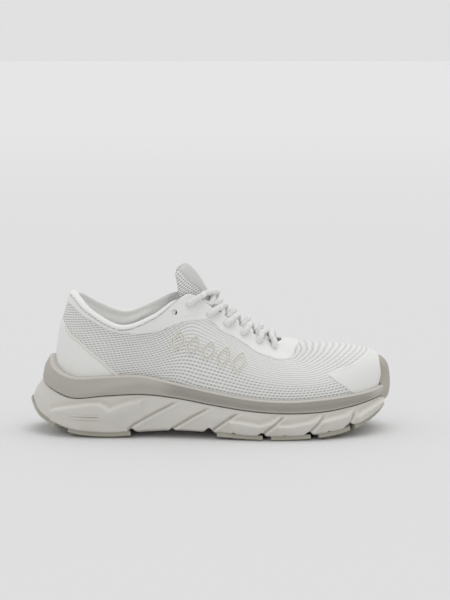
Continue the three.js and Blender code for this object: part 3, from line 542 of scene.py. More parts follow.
def wire_lozenge(w, inputs):
    """Raised lozenges: the product of two triangle waves that slant opposite ways, inside the mask."""
    along, up = inputs["Along"], inputs["Up"]
    lean = w.math("MULTIPLY", up, 1.6)
    one, two = (
        w.math("PINGPONG", w.math("DIVIDE", w.math(sign, along, lean), inputs["Pitch"]), 0.5)
        for sign in ("ADD", "SUBTRACT")
    )
    height = w.math("MULTIPLY", w.math("MULTIPLY", one, two), 4.0)
    return {"Height": w.math("MULTIPLY", height, inputs["Mask"])}


def wire_dust_and_shade(w, inputs):
    """Handling dust: settles low on the shoe and where broad noise is high."""
    place = w.node("ShaderNodeTexCoord").outputs["Object"]
    height = w.node("ShaderNodeSeparateXYZ", {0: place}).outputs[2]
    low = w.step(height, 0.0, 0.02, 1.0, 0.0)
    cloud = w.node("ShaderNodeTexNoise", {"Vector": place, "Scale": 60.0, "Detail": 5.0}).outputs[0]
    share = w.math("MULTIPLY", w.math("MULTIPLY", low, w.step(cloud, 0.35, 0.7)), inputs["Amount"])
    return {"Color": w.blend(share, inputs["Color"], inputs["Dust"])}


def make_shared_groups():
    """Builds every shared effect once."""
    shared_group(
        "Shoe knit",
        [("Along", NUMBER, 0.0), ("Up", NUMBER, 0.0), ("Ridges", NUMBER, 0.0)],
        [("Height", NUMBER), ("Shade", NUMBER)],
        wire_knit,
    )
    shared_group(
        "Plain weave",
        [("Along", NUMBER, 0.0), ("Up", NUMBER, 0.0), ("Pitch", NUMBER, 1.0)],
        [("Height", NUMBER), ("Shade", NUMBER)],
        wire_weave,
    )
    shared_group(
        "Surface grain",
        [("Color", COLOUR, WHITE), ("Scale", NUMBER, 900.0), ("Variation", NUMBER, 0.05)],
        [("Height", NUMBER), ("Color", COLOUR)],
        wire_grain,
    )
    shared_group(
        "Raised lozenges",
        [("Along", NUMBER, 0.0), ("Up", NUMBER, 0.0), ("Pitch", NUMBER, 2.0), ("Mask", NUMBER, 1.0)],
        [("Height", NUMBER)],
        wire_lozenge,
    )
    shared_group(
        "Sole dust and shade",
        [("Color", COLOUR, WHITE), ("Dust", COLOUR, WHITE), ("Amount", NUMBER, 0.3)],
        [("Color", COLOUR)],
        wire_dust_and_shade,
    )


def new_finish(name, roughness, sheen=0.0, specular=0.3):
    """An empty material: its wiring and its Principled shader, with the constants on the shader itself."""
    material = bpy.data.materials.new(name)
    material.use_nodes = True
    w = Wiring(material.node_tree)
    shader = material.node_tree.nodes["Principled BSDF"]
    shader.inputs["Roughness"].default_value = roughness
    shader.inputs["Specular IOR Level"].default_value = specular
    shader.inputs["Sheen Weight"].default_value = sheen
    shader.inputs["Sheen Roughness"].default_value = 0.6
    return material, w, shader


def bump(w, shader, height, depth):
    """Feeds the shader's normal from a height whose full range stands depth millimetres proud."""
    node = w.node("ShaderNodeBump", {"Height": height, "Strength": 1.0, "Distance": depth / 1000.0})
    w.feed(shader.inputs["Normal"], node.outputs[0])


def knit_finish(name, colour, ridges, variation, hollow_shade, depth):
    """Knitted mesh, darker in its gaps; ridges names the mask of its shallow valleys, if it has any."""
    material, w, shader = new_finish(name, 0.9, sheen=0.15)
    along, up = w.map_uv()
    share = w.mask(ridges) if ridges else 0.0
    knit = w.group("Shoe knit", Along=along, Up=up, Ridges=share)
    grain = w.group("Surface grain", Color=(*colour, 1), Scale=1400.0, Variation=variation)
    # Painted shade: darker in the knit's gaps and valleys.
    shade = w.math("MULTIPLY", knit["Shade"], hollow_shade)
    w.feed(shader.inputs["Base Color"], w.darken(grain["Color"], w.math("SUBTRACT", 1.0, shade)))
    bump(w, shader, knit["Height"], depth)
    return material


def cloth_finish(name, colour, pitch, depth, hollow_shade):
    """Woven or brushed cloth on the piece's own map."""
    material, w, shader = new_finish(name, 0.92, sheen=0.3)
    along, up = w.map_uv()
    weave = w.group("Plain weave", Along=along, Up=up, Pitch=pitch)
    grain = w.group("Surface grain", Color=(*colour, 1), Scale=900.0, Variation=0.05)
    # Painted shade: darker in the weave's hollows.
    shade = w.math("SUBTRACT", 1.0, w.math("MULTIPLY", weave["Shade"], hollow_shade))
    w.feed(shader.inputs["Base Color"], w.darken(grain["Color"], shade))
    bump(w, shader, w.math("ADD", weave["Height"], w.math("MULTIPLY", grain["Height"], 0.4)), depth)
    return material


def moulded_finish(name, colour, roughness, scale, depth, variation, dust_and_shade):
    """Moulded foam, rubber or film: fine grain. Given a dust colour, and not None, it is dusty near the
    ground and in the grooves, and pale where its edges are rubbed."""
    material, w, shader = new_finish(name, roughness)
    grain = w.group("Surface grain", Color=(*colour, 1), Scale=scale, Variation=variation)
    result = grain["Color"]
    if dust_and_shade is not None:
        # Darker near the ground, in patches: dust and painted shade.
        result = w.group("Sole dust and shade", Color=result, Dust=(*dust_and_shade, 1), Amount=0.35)["Color"]
        # Painted shade in the grooves and the hollows above the ledges, and a painted highlight on the ledge
        # crests and groove lips.
        result = w.blend(w.math("MULTIPLY", w.mask("soil"), 0.4), result, (*dust_and_shade, 1))
        result = w.blend(w.math("MULTIPLY", w.mask("worn"), 0.45), result, (0.86, 0.845, 0.8, 1))
    w.feed(shader.inputs["Base Color"], result)
    bump(w, shader, grain["Height"], depth)
    return material


def rim_finish(colour):
    """Greige foam: fine grain, raised lozenges from the waist forward, a paler edge where it is rubbed."""
    material, w, shader = new_finish("Greige foam", 0.72)
    along, up = w.map_uv()
    grain = w.group("Surface grain", Color=(*colour, 1), Scale=1000.0, Variation=0.05)
    lozenge = w.group("Raised lozenges", Along=along, Up=up, Pitch=2.1, Mask=w.mask("texture"))
    # Painted shade: the colour is darker between the raised lozenges.
    dark = w.math("MULTIPLY", w.math("SUBTRACT", w.mask("texture"), lozenge["Height"]), 0.22)
    # Painted highlight: the top rows of the rim are painted paler.
    edge = w.math("MULTIPLY", w.mask("edge"), 0.8)
    pale = w.blend(edge, grain["Color"], (0.62, 0.6, 0.56, 1))
    w.feed(shader.inputs["Base Color"], w.darken(pale, w.math("SUBTRACT", 1.0, dark)))
    bump(w, shader, w.math("ADD", lozenge["Height"], w.math("MULTIPLY", grain["Height"], 0.15)), 0.4)
    return material


def braid_finish(colour):
    """Braided cord: two sets of strands that wind opposite ways round the piece's length."""
    material, w, shader = new_finish("Braided lace", 0.85, sheen=0.3)
    along, around = w.map_uv()
    turns = w.math("MULTIPLY", around, 8.0)
    run = w.math("DIVIDE", along, 1.5)
    one = w.math("PINGPONG", w.math("ADD", run, turns), 0.5)
    two = w.math("PINGPONG", w.math("SUBTRACT", run, turns), 0.5)
    height = w.math("ADD", one, two)
    grain = w.group("Surface grain", Color=(*colour, 1), Scale=1500.0, Variation=0.04)
    # Painted shade: the colour is darker where the strands lie low.
    shade = w.math("ADD", 0.88, w.math("MULTIPLY", height, 0.14))
    w.feed(shader.inputs["Base Color"], w.darken(grain["Color"], shade))
    bump(w, shader, height, 0.45)
    return material


# Moulded finishes: colour, or its name among the shoe's colours; roughness; scale and depth of the grain;
# how much the tint varies; and whether it takes dust and painted shade near the ground, painted shade in its
# grooves and a painted highlight on its ledges.
MOULDED = {
    "White foam": ("carrier", 0.75, 1000.0, 0.06, 0.05, True),
    "Outsole rubber": ("rubber", 0.65, 1300.0, 0.1, 0.08, True),
    "Toe rubber": ("bumper", 0.6, 1300.0, 0.06, 0.05, False),
    "Smooth film": ("film", 0.5, 700.0, 0.05, 0.02, False),
    "Welt film": ("welt", 0.6, 700.0, 0.05, 0.02, False),
    "Tongue label": ("label", 0.55, 500.0, 0.08, 0.03, False),
    "Stiff board": ((0.55, 0.5, 0.42), 0.95, 500.0, 0.2, 0.1, False),
    "Stiffener": ((0.6, 0.6, 0.58), 0.6, 700.0, 0.05, 0.03, False),
    # Black, for the disc that paints shade into the free holes.
    "Painted hole shade": ((0.03, 0.03, 0.03), 0.9, 700.0, 0.05, 0.1, False),
    "Lace tip": ((0.7, 0.7, 0.69), 0.3, 700.0, 0.02, 0.02, False),
}
# Cloth finishes: name of the colour; pitch and depth of the weave in millimetres; how dark its hollows are
# painted, a painted shade.
CLOTH = {
    "Lining cloth": ("lining", 0.9, 0.15, 0.06),
    "Sockliner cloth": ("lining", 1.4, 0.2, 0.1),
    "Stitching": ("thread", 0.5, 0.1, 0.1),
}
# Knitted finishes: mask of the valleys, how much the tint varies, strength of the painted shade in the gaps
# and valleys, and depth of the gaps.
KNITTED = {
    "Knitted mesh": ("ridges", 0.05, 0.34, 0.6),
    "Tongue mesh": (None, 0.04, 0.45, 0.7),
}


def finish_of(kind):
    """Makes a finish the first time it is asked for and keeps it after that."""
    if kind in bpy.data.materials:
        return bpy.data.materials[kind]
    colours = bpy.context.scene.shoe_colours
    if kind in KNITTED:
        return knit_finish(kind, colours.knit, *KNITTED[kind])
    if kind in CLOTH:
        colour, *weave = CLOTH[kind]
        return cloth_finish(kind, getattr(colours, colour), *weave)
    if kind in MOULDED:
        colour, *surface, dusty_and_shaded = MOULDED[kind]
        colour = getattr(colours, colour) if isinstance(colour, str) else colour
        return moulded_finish(kind, colour, *surface, colours.dust_and_shade if dusty_and_shaded else None)
    if kind == "Greige foam":
        return rim_finish(colours.rim)
    return braid_finish(colours.lace)


# ---- Sole -----------------------------------------------------------------------------------------------
# Lines drawn in the side view (x, z) that the foam's relief follows.
LEDGES = [
    [(15, 20.5), (20, 22.5), (32.8, 25.4), (46.5, 28.2), (56, 28.6), (61, 26.4), (64.6, 23.4), (69.1, 25.6),
     (82.8, 30.1), (93, 32.4)],
    [(161.9, 15.6), (170.8, 14.9), (187.6, 12.3), (197, 15), (204.7, 20.2)],
    [(201.8, 12.2), (213.2, 12.4), (228.6, 15.2), (238, 20)],
    [(237.3, 15.2), (246.4, 17.5), (257.3, 19.3), (264, 23.4)],
    [(266.4, 16.2), (273.3, 20.3), (284.8, 25), (292, 28)],
]
GROOVES = [
    [(80.5, 7.5), (84, 11), (101, 20.5), (121, 31)],
    [(116.1, 8), (131, 17.5), (147, 26.5)],
    [(147, 5), (152, 10), (160, 16), (171, 23)],
    [(189.5, 3), (192.5, 8), (199, 13), (208.5, 21)],
    [(227.5, 4), (229, 8), (234, 13), (240.5, 20)],
    [(260.7, 8), (261.8, 13.5), (266.5, 22)],
]
RIM_CREASE = [(24, 37), (45, 36.5), (60, 39), (75, 43.2), (90, 46.3), (108, 44.5), (126, 40)]
# Notches of the sole's lower edge: middle, depth and width.
NOTCHES = [(82.7, 4.2, 2.6), (116.2, 1.8, 1.8), (146.4, 4.6, 2.8), (166.6, 1.6, 1.6), (189.5, 4.6, 2.8),
           (208, 1.4, 1.6), (227.7, 4.4, 2.8), (244, 1.4, 1.6), (260.7, 4.8, 3.0)]


def notch_height(x):
    """How far the sole's lower edge is cut away at x: a sum of bell curves, one for each notch."""
    return sum(depth * bell(x, middle, width) for middle, depth, width in NOTCHES)


def carrier_relief(points):
    """Out-of-plane relief of the lower foam: the part under each ledge stands proud, with a short step, and
    each groove is a narrow bell-shaped channel with a raised lip on its toe side. Also returns where the
    edges are rubbed pale and where dirt settles, as bell curves about the ledges and the grooves."""
    x, z = points[..., 0], points[..., 2]
    relief, worn, soil = np.zeros(x.shape), np.zeros(x.shape), np.zeros(x.shape)
    for k, path in enumerate(LEDGES):
        _, above = path_distance(x, z, path)
        first, last = path[0][0], path[-1][0]
        inside = ease(x, first - 1, first + 3) * (1 - ease(x, last - 3, last + 1))
        depth = 2.4 if k else 3.0
        relief += depth * inside * (1 - ease(above, -0.6, 1.0)) * (1 - 0.6 * ease(-above, 1.5, 12))
        relief -= 0.8 * inside * bell(above, 2.6, 2.2)
        worn = np.maximum(worn, inside * bell(above, 0.1, 1.0))
        soil = np.maximum(soil, 0.5 * inside * bell(above, 2.4, 1.4))
    for path in GROOVES:
        gap, above = path_distance(x, z, path)
        high = path[-1][1]
        inside = 1 - ease(z, high - 4, high + 1)
        relief -= 1.9 * bell(gap, 0, 0.9) * inside
        relief += 0.9 * bell(gap, 2.1, 1.3) * (above < 0) * inside
        soil = np.maximum(soil, bell(gap, 0, 0.8) * inside)
        worn = np.maximum(worn, 0.7 * bell(gap, 2.0, 0.9) * (above < 0) * inside)
    return relief, worn, soil


def around_sole(count):
    """An odd number of u from the heel, round the medial side and the toe, and back to the heel."""
    return np.linspace(-HEEL, HEEL, count)


def polyline_rows(keys, counts):
    """Rows between key (inset, height) pairs, straight from key to key, then softened along the rows."""
    rows = []
    for (a, b), count in zip(zip(keys[:-1], keys[1:]), counts):
        t = np.linspace(0, 1, count, endpoint=False)[:, None]
        rows.append(np.stack([a[k] * (1 - t) + b[k] * t for k in (0, 1)], -1))
    rows.append(np.stack([np.broadcast_to(k, rows[0].shape[1]) for k in keys[-1]], -1)[None])
    rows = np.concatenate(rows)
    for _ in range(2):
        rows[1:-1] = (rows[:-2] + 2 * rows[1:-1] + rows[2:]) / 4
    return rows[..., 0], rows[..., 1]


def floor_height(u):
    """Top of the foam floor: the footbed, less the board and its two gaps."""
    return column("footbed", u) - BOARD_T - 2 * GAP


def basin_height(u):
    """Top of the lower foam: the floor, less the upper foam's thickness."""
    return floor_height(u) - FLOOR_T - GAP


def build_carrier():
    """Lower foam: straight rows between the foot, the flared edge, the bulge and the joint, moved out by
    the relief; the ground face and the basin are closed by straight lines from side to side."""
    u = around_sole(1121)
    col = {name: column(name, u) for name in COLUMNS}
    ground = col["ground"] + RUBBER_T + GAP
    one = np.ones(len(u))
    keys = [
        (col["foot"] + 3, ground), (col["foot"], ground), (-col["flare"], col["edge"]),
        (-col["flare"] / 2 - 0.9, (col["edge"] + col["joint"]) / 2),
        (0.2 * one, col["joint"] - 1.0), (1.4 * one, col["joint"] - 0.35), (5 * one, col["joint"] - 1.2),
    ]
    inset, z = polyline_rows(keys, [2, 13, 17, 15, 3, 3])
    points = outline(u[None, :], inset, z)
    share = np.linspace(0, 1, len(points))[:, None]
    low = 1 - ease(share, 0.08, 0.5)
    points[..., 2] += notch_height(points[..., 0]) * low * ease(points[..., 2], -5, 8)
    fade = ease(share, 0.04, 0.12) * (1 - ease(share, 0.88, 0.95))
    normal = np.concatenate([plan_normal(u), np.zeros((len(u), 1))], -1)[None]
    relief, worn, soil = carrier_relief(points)
    points += normal * (relief * fade)[..., None]
    shape = Shape()
    map_row = points[30:31]
    length, height = lengths_along(map_row, 1), lengths_along(points, 0)
    # The masks carry a painted highlight on the ledge crests and groove lips, and painted shade in the
    # grooves and the hollows above the ledges.
    shape.grid(points, np.stack(np.broadcast_arrays(length, height), -1), worn=worn * fade, soil=soil * fade)
    bottom = cross_lines(points[0], 48)
    across = np.linspace(-1, 1, 49)[None, :]
    inner = 1 - ease(np.abs(across), 0.8, 1.0)
    cut = sum(3.2 * bell(bottom[..., 0], x, 2.6) for x in (81, 115, 146, 190, 229, 263))
    fore_and_aft = ease(bottom[..., 0], 20, 40) * (1 - ease(bottom[..., 0], 250, 266))
    channel = 2.2 * bell(bottom[..., 1], 0, 4) * fore_and_aft
    bottom[..., 2] += np.maximum(cut, channel) * inner
    shape.grid(bottom)
    basin = outline(u, col["feather"], basin_height(u))
    shape.grid(np.stack([points[-1], basin]))
    shape.grid(cross_lines(basin, 12))
    shape.finish("foam_carrier", "shoe", "midsole_carrier", "White foam", ["midsole_carrier"], 35)


def build_rim():
    """Upper foam: a tray wall swept round the shoe, bulging to a crease at the waist, with a rolled top."""
    u = around_sole(1121)
    top, joint, feather = column("top", u), column("joint", u), column("feather", u)
    one = np.ones(len(u))
    middle = joint * 0.45 + top * 0.55
    lean = 7 * bell(np.abs(u), HEEL, 1.1)
    keys = [
        (feather, basin_height(u) + GAP), (5 * one, joint - 0.9), (1.5 * one, joint + 0.1),
        (0.1 * one, joint + 0.8), (0.4 * lean - 0.7, middle), (0.92 * lean + 0.1, top - 1.1),
        (lean + 0.5, top - 0.2), (lean + 1.7, top),
    ]
    inset, z = polyline_rows(keys, [3, 4, 3, 14, 14, 4, 3])
    points = outline(u[None, :], inset, z)
    x, height = points[..., 0], points[..., 2]
    gap, above = path_distance(x, height, RIM_CREASE)
    share = np.linspace(0, 1, len(points))[:, None]
    face = ease(share, 0.24, 0.34) * (1 - ease(share, 0.8, 0.9))
    swell = 1.3 * bell(above, 0, 4.0) * ease(x, 24, 60) * (1 - ease(x, 96, 128)) * (gap < 9)
    normal = np.concatenate([plan_normal(u), np.zeros((len(u), 1))], -1)[None]
    points += normal * (swell * face)[..., None]
    inner = np.stack([upper(u, V_RIM, 0.35), upper(u, V_RIM / 2, 0.35), upper(u, 0, 0.35)])
    foot = outline(u, feather - GAP, floor_height(u))[None]
    ring = np.concatenate([points, inner, foot, points[:1]])
    map_row = points[24:25]
    uv = np.stack(np.broadcast_arrays(lengths_along(map_row, 1), lengths_along(ring, 0)), -1)
    rows = np.linspace(0, 1, len(points))
    hidden = np.zeros(len(ring) - len(points))
    on_face = np.concatenate([ease(rows, 0.26, 0.32) * (1 - ease(rows, 0.8, 0.86)), hidden])[:, None]
    texture = on_face * ease(ring[..., 0], 100, 122) * (1 - ease(ring[..., 0], 276, 286))
    # The top rows, which the finish paints paler: a painted highlight.
    edge = np.concatenate([ease(rows, 0.8, 0.9), hidden])[:, None] * np.ones(len(u))
    shape = Shape().grid(ring, uv, texture=texture, edge=edge)
    shape.finish("foam_rim", "shoe", "midsole_rim", "Greige foam", ["midsole_rim"], 50)


def u_at(x, side):
    """The u of one side where the sole's outline stands at x."""
    u = np.linspace(0.0, HEEL, 600)
    xs = column("x", -u if side > 0 else u)
    order = np.argsort(xs)
    found = np.interp(x, xs[order], u[order])
    return -found if side > 0 else found


def slope(u, share, offset):
    """A point of the slope between the ground face and the flared edge, moved out of it by offset."""
    run = column("foot", u) + column("flare", u)
    rise = column("edge", u) - column("ground", u) - RUBBER_T - GAP
    length = np.hypot(run, rise)
    inset = column("foot", u) - run * share - offset * rise / length
    return outline(u, inset, column("edge", u) - rise * (1 - share) - offset * run / length)


SIPE_PITCH = 9.0


def tread(points, depth):
    """Tread of the rubber: V-shaped sipes at an even pitch, cut upwards into the pad by bell curves."""
    x, y = points[..., 0], points[..., 1]
    phase = (x + 0.6 * np.abs(np.abs(y) - 22)) / SIPE_PITCH
    sipe = np.abs(phase - np.round(phase)) * SIPE_PITCH
    return depth * bell(sipe, 0, 0.9)


def pad_faces(flat, up_slope):
    """The two faces of a pad: its flat part with the tread cut in, going on up the slope, and its back."""
    cut = np.zeros(flat.shape)
    inner = np.ones(flat.shape[:2])
    inner[:2] = inner[-2:] = 0
    inner[:, :2] = 0
    cut[..., 2] = tread(flat, 1.1) * inner
    outer = np.concatenate([flat + cut, up_slope[0][:, 1:]], axis=1)
    back = flat.copy()
    back[..., 2] += RUBBER_T
    return outer, np.concatenate([back, up_slope[1][:, 1:]], axis=1)


def side_pad(shape, x0, x1, side, channel):
    """A pad on one side of the sole: straight lines from the middle channel to the foot, then the slope."""
    rows = max(12, int(x1 - x0))
    a = np.linspace(0, 1, rows)
    x = x0 + (x1 - x0) * a
    u = u_at(x + 4.0, side)
    foot = outline(u, column("foot", u) - 0.8, column("ground", u))
    near = np.stack([x, np.full(rows, side * channel + CENTRE[1]), column("ground", u)], -1)
    t = np.linspace(0, 1, 34)[None, :, None]
    flat = near[:, None] * (1 - t) + foot[:, None] * t
    flat[..., 2] = np.maximum(flat[..., 2], 0)
    share = np.linspace(0, 0.7, 9)[None, :]
    outer = slope(u[:, None], share, RUBBER_T + GAP)
    outer[:, 0] = foot
    outer[..., 2] = np.maximum(outer[..., 2], 0)
    inner = slope(u[:, None], share, 0.0)
    outer, inner = pad_faces(flat, (outer, inner))
    inner[:, :34, 2] = np.maximum(inner[:, :34, 2], outer[:, :34, 2] + 0.4)
    shape.slab(outer, inner)


def end_pad(shape, u_end, tip, reach):
    """A pad that wraps the toe or the heel: lines from side to side, with a slope at each end, which it
    climbs to the share given."""
    half = np.linspace(u_end, tip, 48)
    climb = 0.72 + 0.28 * ease(np.abs(half - u_end), 0, 1.1)
    share = reach * np.linspace(0, 1, 15)[None, :] * climb[:, None]

    def side_part(u):
        wall = slope(u[:, None], share, (RUBBER_T + GAP) * (1 - 0.5 * ease(share, 0.9, 1.03)))
        foot = outline(u, column("foot", u) - 0.8, column("ground", u))
        wall[:, 0] = foot
        wall[..., 2] = np.maximum(wall[..., 2], 0)
        return foot, wall, slope(u[:, None], share, 0.0)

    left, right = side_part(half), side_part(-half)
    t = np.linspace(0, 1, 44)[None, :, None]
    flat = left[0][:, None] * (1 - t) + right[0][:, None] * t
    cut = tread(flat, 1.0)
    cut[:2] = 0
    cut[-3:] = 0
    low = flat.copy()
    low[..., 2] = np.maximum(low[..., 2], 0) + cut
    high = flat.copy()
    high[..., 2] = np.maximum(high[..., 2], 0) + RUBBER_T
    outer = np.concatenate([left[1][:, :0:-1], low, right[1][:, 1:]], axis=1)
    inner = np.concatenate([left[2][:, :0:-1], high, right[2][:, 1:]], axis=1)
    shape.slab(outer, inner)


FOREFOOT_PADS = [(149, 186), (193, 225), (232, 258)]


def build_outsole():
    """The rubber pads, each replacing its own node."""
    def make(name, shape):
        shape.finish("tread_" + name, "shoe", name, "Outsole rubber", [name], 30)

    for side, word in ((-1, "lateral"), (1, "medial")):
        shape = Shape()
        side_pad(shape, 27, 78, side, 8)
        make("heel_rubber_" + word, shape)
        for k, (x0, x1) in enumerate(FOREFOOT_PADS):
            shape = Shape()
            side_pad(shape, x0, x1, side, 7)
            make(f"forefoot_rubber_{word}_{k + 1}", shape)
    shape = Shape()
    end_pad(shape, float(u_at(21.0, -1)), HEEL, 1.03)
    make("heel_rubber_rear", shape)
    shape = Shape()
    end_pad(shape, float(u_at(267.0, -1)), 0.0, 0.8)
    make("toe_rubber", shape)


# The toe guard's line in the middle of the shoe, and the sole and toe cap just under it: height, inset.
GUARD_PROUD = [(24.5, 1.6), (27, -0.6), (31, -2), (34.9, -2.5), (39.5, -2.6), (43.6, -2.4), (48.5, -1.9),
               (53.1, -0.9), (56.5, 0.8), (58.7, 2.5), (61.4, 6.2)]
GUARD_UNDER = [(24.5, 2.4), (27, 1.1), (31, 0.6), (34.9, 0.2), (39.5, 2.2), (43.6, 3.6), (53.1, 3.4),
               (58.7, 5.2), (61.4, 6.9)]


def build_bumper():
    """Toe guard: rows climb from the sidewall to the toe cap, narrowing to a round top. Each row stands
    proud by half an ellipse across it and dives under its neighbours at both ends."""
    z = 61.4 - 36.9 * np.linspace(1, 0, 80)[:, None] ** 1.3
    across = np.sin(np.linspace(-np.pi / 2, np.pi / 2, 61))[None, :]
    half = (0.95 - 0.33 * ease(z, 26, 52)) * np.sqrt(1.001 - np.clip((z - 53) / 8.4, 0, 1) ** 2)
    u = half * across
    proud, under = edge_function(GUARD_PROUD)(z), edge_function(GUARD_UNDER)(z)
    height = (1 - across ** 2) ** 0.5
    z = z + 0 * u
    outer = outline(u, under + (proud - under) * height, z)
    inner = outline(u, under + 0.7 + 0 * u, z)
    shape = Shape()
    shape.slab(outer, inner)
    shape.finish("toe_guard", "shoe", "toe_bumper", "Toe rubber", ["toe_bumper"], 50)


def build_sockliner():
    """Sockliner: rings that rise from its base, round over its lip and dish down to the footbed."""
    u = around_sole(361)
    inset = MESH_T + COUNTER_T + LINING_T + 5 * GAP + column("feather", u)
    base = column("footbed", u)
    one = np.ones(len(u))
    keys = [
        (inset + 1.2, base + 0.1), (inset + 0.2, base + 2), (inset + 0.2, base + SOCK_T + SOCK_LIP - 0.6),
        (inset + 0.9, base + SOCK_T + SOCK_LIP), (inset + 2.4, base + SOCK_T + SOCK_LIP - 1.6),
        (inset + 9 * one, base + SOCK_T),
    ]
    rows_inset, z = polyline_rows(keys, [4, 6, 4, 5, 10])
    points = outline(u[None, :], rows_inset, z)
    top = cross_lines(points[-1], 30)
    across = np.linspace(-1, 1, 31)[None, :]
    top[..., 2] -= 0.9 * (1 - across**2)
    shape = Shape().grid(points).grid(top, top[..., :2]).grid(cross_lines(points[0], 6))
    shape.finish("footbed_liner", "sockliner", "sockliner", "Sockliner cloth", ["sockliner"], 60)


# ---- Upper ----------------------------------------------------------------------------------------------
# The lace holes, from the free one at the ankle to the lowest: their u, and how far they lie below the edge.
EYELET_U = np.array([8.32, 7.87, 7.1, 6.46, 5.78, 5.08, 4.26])
EYELET_DEPTH = np.array([10.0, 8, 8, 8, 8, 8, 8])
EYELET_V = v_below_edge(EYELET_U, EYELET_DEPTH)
EYELET_V_MEDIAL = v_below_edge(AROUND - EYELET_U, EYELET_DEPTH)
# Radius of a hole in the knit.
HOLE_R = 2.45

# How deep the back of a film lies in the knit, in millimetres.
FILM_SUNK = 0.2

# The height of the knit's rows between the sole and the stay, and the row count's start, in millimetres.
FORE_HEIGHT = 42
ROW_START = 200

# Overlay edges as (u, v), drawn on the lateral side and mirrored to the medial side.
EYESTAY_EDGE = [
    (-0.6, 0.917), (0, 0.917), (1.2, 0.907), (2.6, 0.872), (3.6, 0.79), (4.27, 0.725), (4.81, 0.685),
    (4.99, 0.695),
    (5.53, 0.702), (5.80, 0.745), (6.23, 0.775), (6.68, 0.765), (6.86, 0.8), (7.10, 0.822), (7.52, 0.75),
    (7.82, 0.714), (8.18, 0.693), (8.57, 0.714), (8.99, 0.780), (9.50, 0.871), (9.92, 0.979), (9.96, 1.0),
]
TOE_CAP_EDGE = [(-0.6, 0.469), (0, 0.47), (1.35, 0.458), (2.36, 0.45), (3.0, 0.458), (3.3, 0.45),
                (3.43, 0.425)]
TOE_CAP_LOW = [(2.2, 0.11), (2.5, 0.12), (2.78, 0.145), (3.16, 0.238), (3.38, 0.335), (3.43, 0.425)]
HEEL_EDGE = [(9.6, 0.12), (9.74, 0.166), (10.23, 0.395), (10.61, 0.5), (11.02, 0.568), (11.53, 0.58),
             (12.01, 0.621), (13, 0.64)]
BAND_EDGE = [(9.5, 0.955), (9.9, 0.945), (10.6, 0.93), (11.4, 0.905), (12.2, 0.885), (13, 0.88)]


# The (u, v) along which the knit's rows end at the lace stay.
STAY_FOOT = np.array([(0, 0.93), (1.5, 0.9), (2.8, 0.82), (4, 0.74), (5, 0.7), (6, 0.75), (7.1, 0.82)])


def knit_share(u, v):
    """How far up the knit a point lies, 0 at the sole and 1 at the lace stay, held level past its corner."""
    side = np.minimum(np.abs(u), STAY_FOOT[-1, 0])
    edge = np.interp(side, *STAY_FOOT.T)
    return (v - V_RIM) / (edge - V_RIM)


def knit_map(u, v, points):
    """Map of the knit in millimetres: whole pitches round the shoe, and up it. At the quarter the rows lie
    level, rising a little forwards; from the waist on they run between the sole and the lace stay."""
    x, z = points[..., 0], points[..., 2]
    along = lengths_along(points[:, points.shape[1] // 2][:, None], 0)
    along = along * (round(along[-1, 0] / KNIT_PITCH) * KNIT_PITCH / along[-1, 0])
    level = 1.15 * (z - 48 - 0.11 * (x - 110))
    fore = ease(x, 92, 138)
    up = level * (1 - fore) + FORE_HEIGHT * knit_share(u, v) * fore
    return np.stack(np.broadcast_arrays(along, up + ROW_START), -1)


def punch(points, centres, radius):
    """Pushes the points near each centre out to a circle; returns the points and a mask of quads to keep."""
    points = points.copy()
    inside = np.zeros(points.shape[:2], bool)
    for centre in centres:
        gap = points - centre
        distance = np.linalg.norm(gap, axis=-1, keepdims=True)
        near = distance[..., 0] < radius
        points = np.where(near[..., None], centre + gap / np.maximum(distance, 0.05) * radius, points)
        inside |= near
    keep = ~(inside[:-1, :-1] & inside[1:, :-1] & inside[:-1, 1:] & inside[1:, 1:])
    return points, keep


def eyelet_centres(offset):
    """Middles of all holes at an offset from the upper, lateral then medial."""
    lateral = upper(EYELET_U, EYELET_V, offset)
    medial = upper(AROUND - EYELET_U, EYELET_V_MEDIAL, offset)
    return np.concatenate([lateral, medial])


def build_knit():
    """Knitted upper: the ribs' surface on an even lattice, turned over at the edge and closed inside."""
    u = np.linspace(-HEEL, HEEL, 801)[:, None]
    v = np.concatenate([np.linspace(0.08, 0.97, 98), np.linspace(0.975, 1, 4)])[None, :]
    outer, keep = punch(upper(u, v), eyelet_centres(0.0), HOLE_R)
    x, share = outer[..., 0], knit_share(u, v)
    forward = ease(x, 120, 220)
    ridges = ease(x, 108, 146) * ease(share, 0.4 - 0.25 * forward, 0.75 - 0.4 * forward)
    shape = Shape().grid(outer, knit_map(u, v, outer), keep, ridges=ridges)
    lip = np.stack([
        outer[:, -1], upper(u[:, 0], 1.0, -0.35, 0.45), upper(u[:, 0], 1.0, -1.0, 0.4),
    ], axis=1)
    v_back = np.array([1.0, 0.97, 0.9, 0.8, 0.7, 0.6, 0.5, 0.4, 0.3, 0.2, 0.12, 0.08])[None, :]
    back = upper(u, v_back, -1.3)
    back = np.concatenate([lip, back, outer[:, :1]], axis=1)
    back_v = np.linspace(1, 0.1, back.shape[1])[None, :]
    shape.grid(back, knit_map(u, back_v, back))
    shape.finish("knit_upper", "shoe", "mesh_upper", "Knitted mesh", ["mesh_upper"], 60)


def edge_height(points, thick, soft, end=True):
    """Thickness of a film: a quarter-round rise from nothing at its edges to thick, soft millimetres in."""
    gap = length = lengths_along(points, 1)
    if end:
        gap = np.minimum(gap, length[:, -1:] - length)
    t = np.clip(gap / soft, 0, 1)
    return thick * np.sqrt(1 - (1 - t) ** 2)


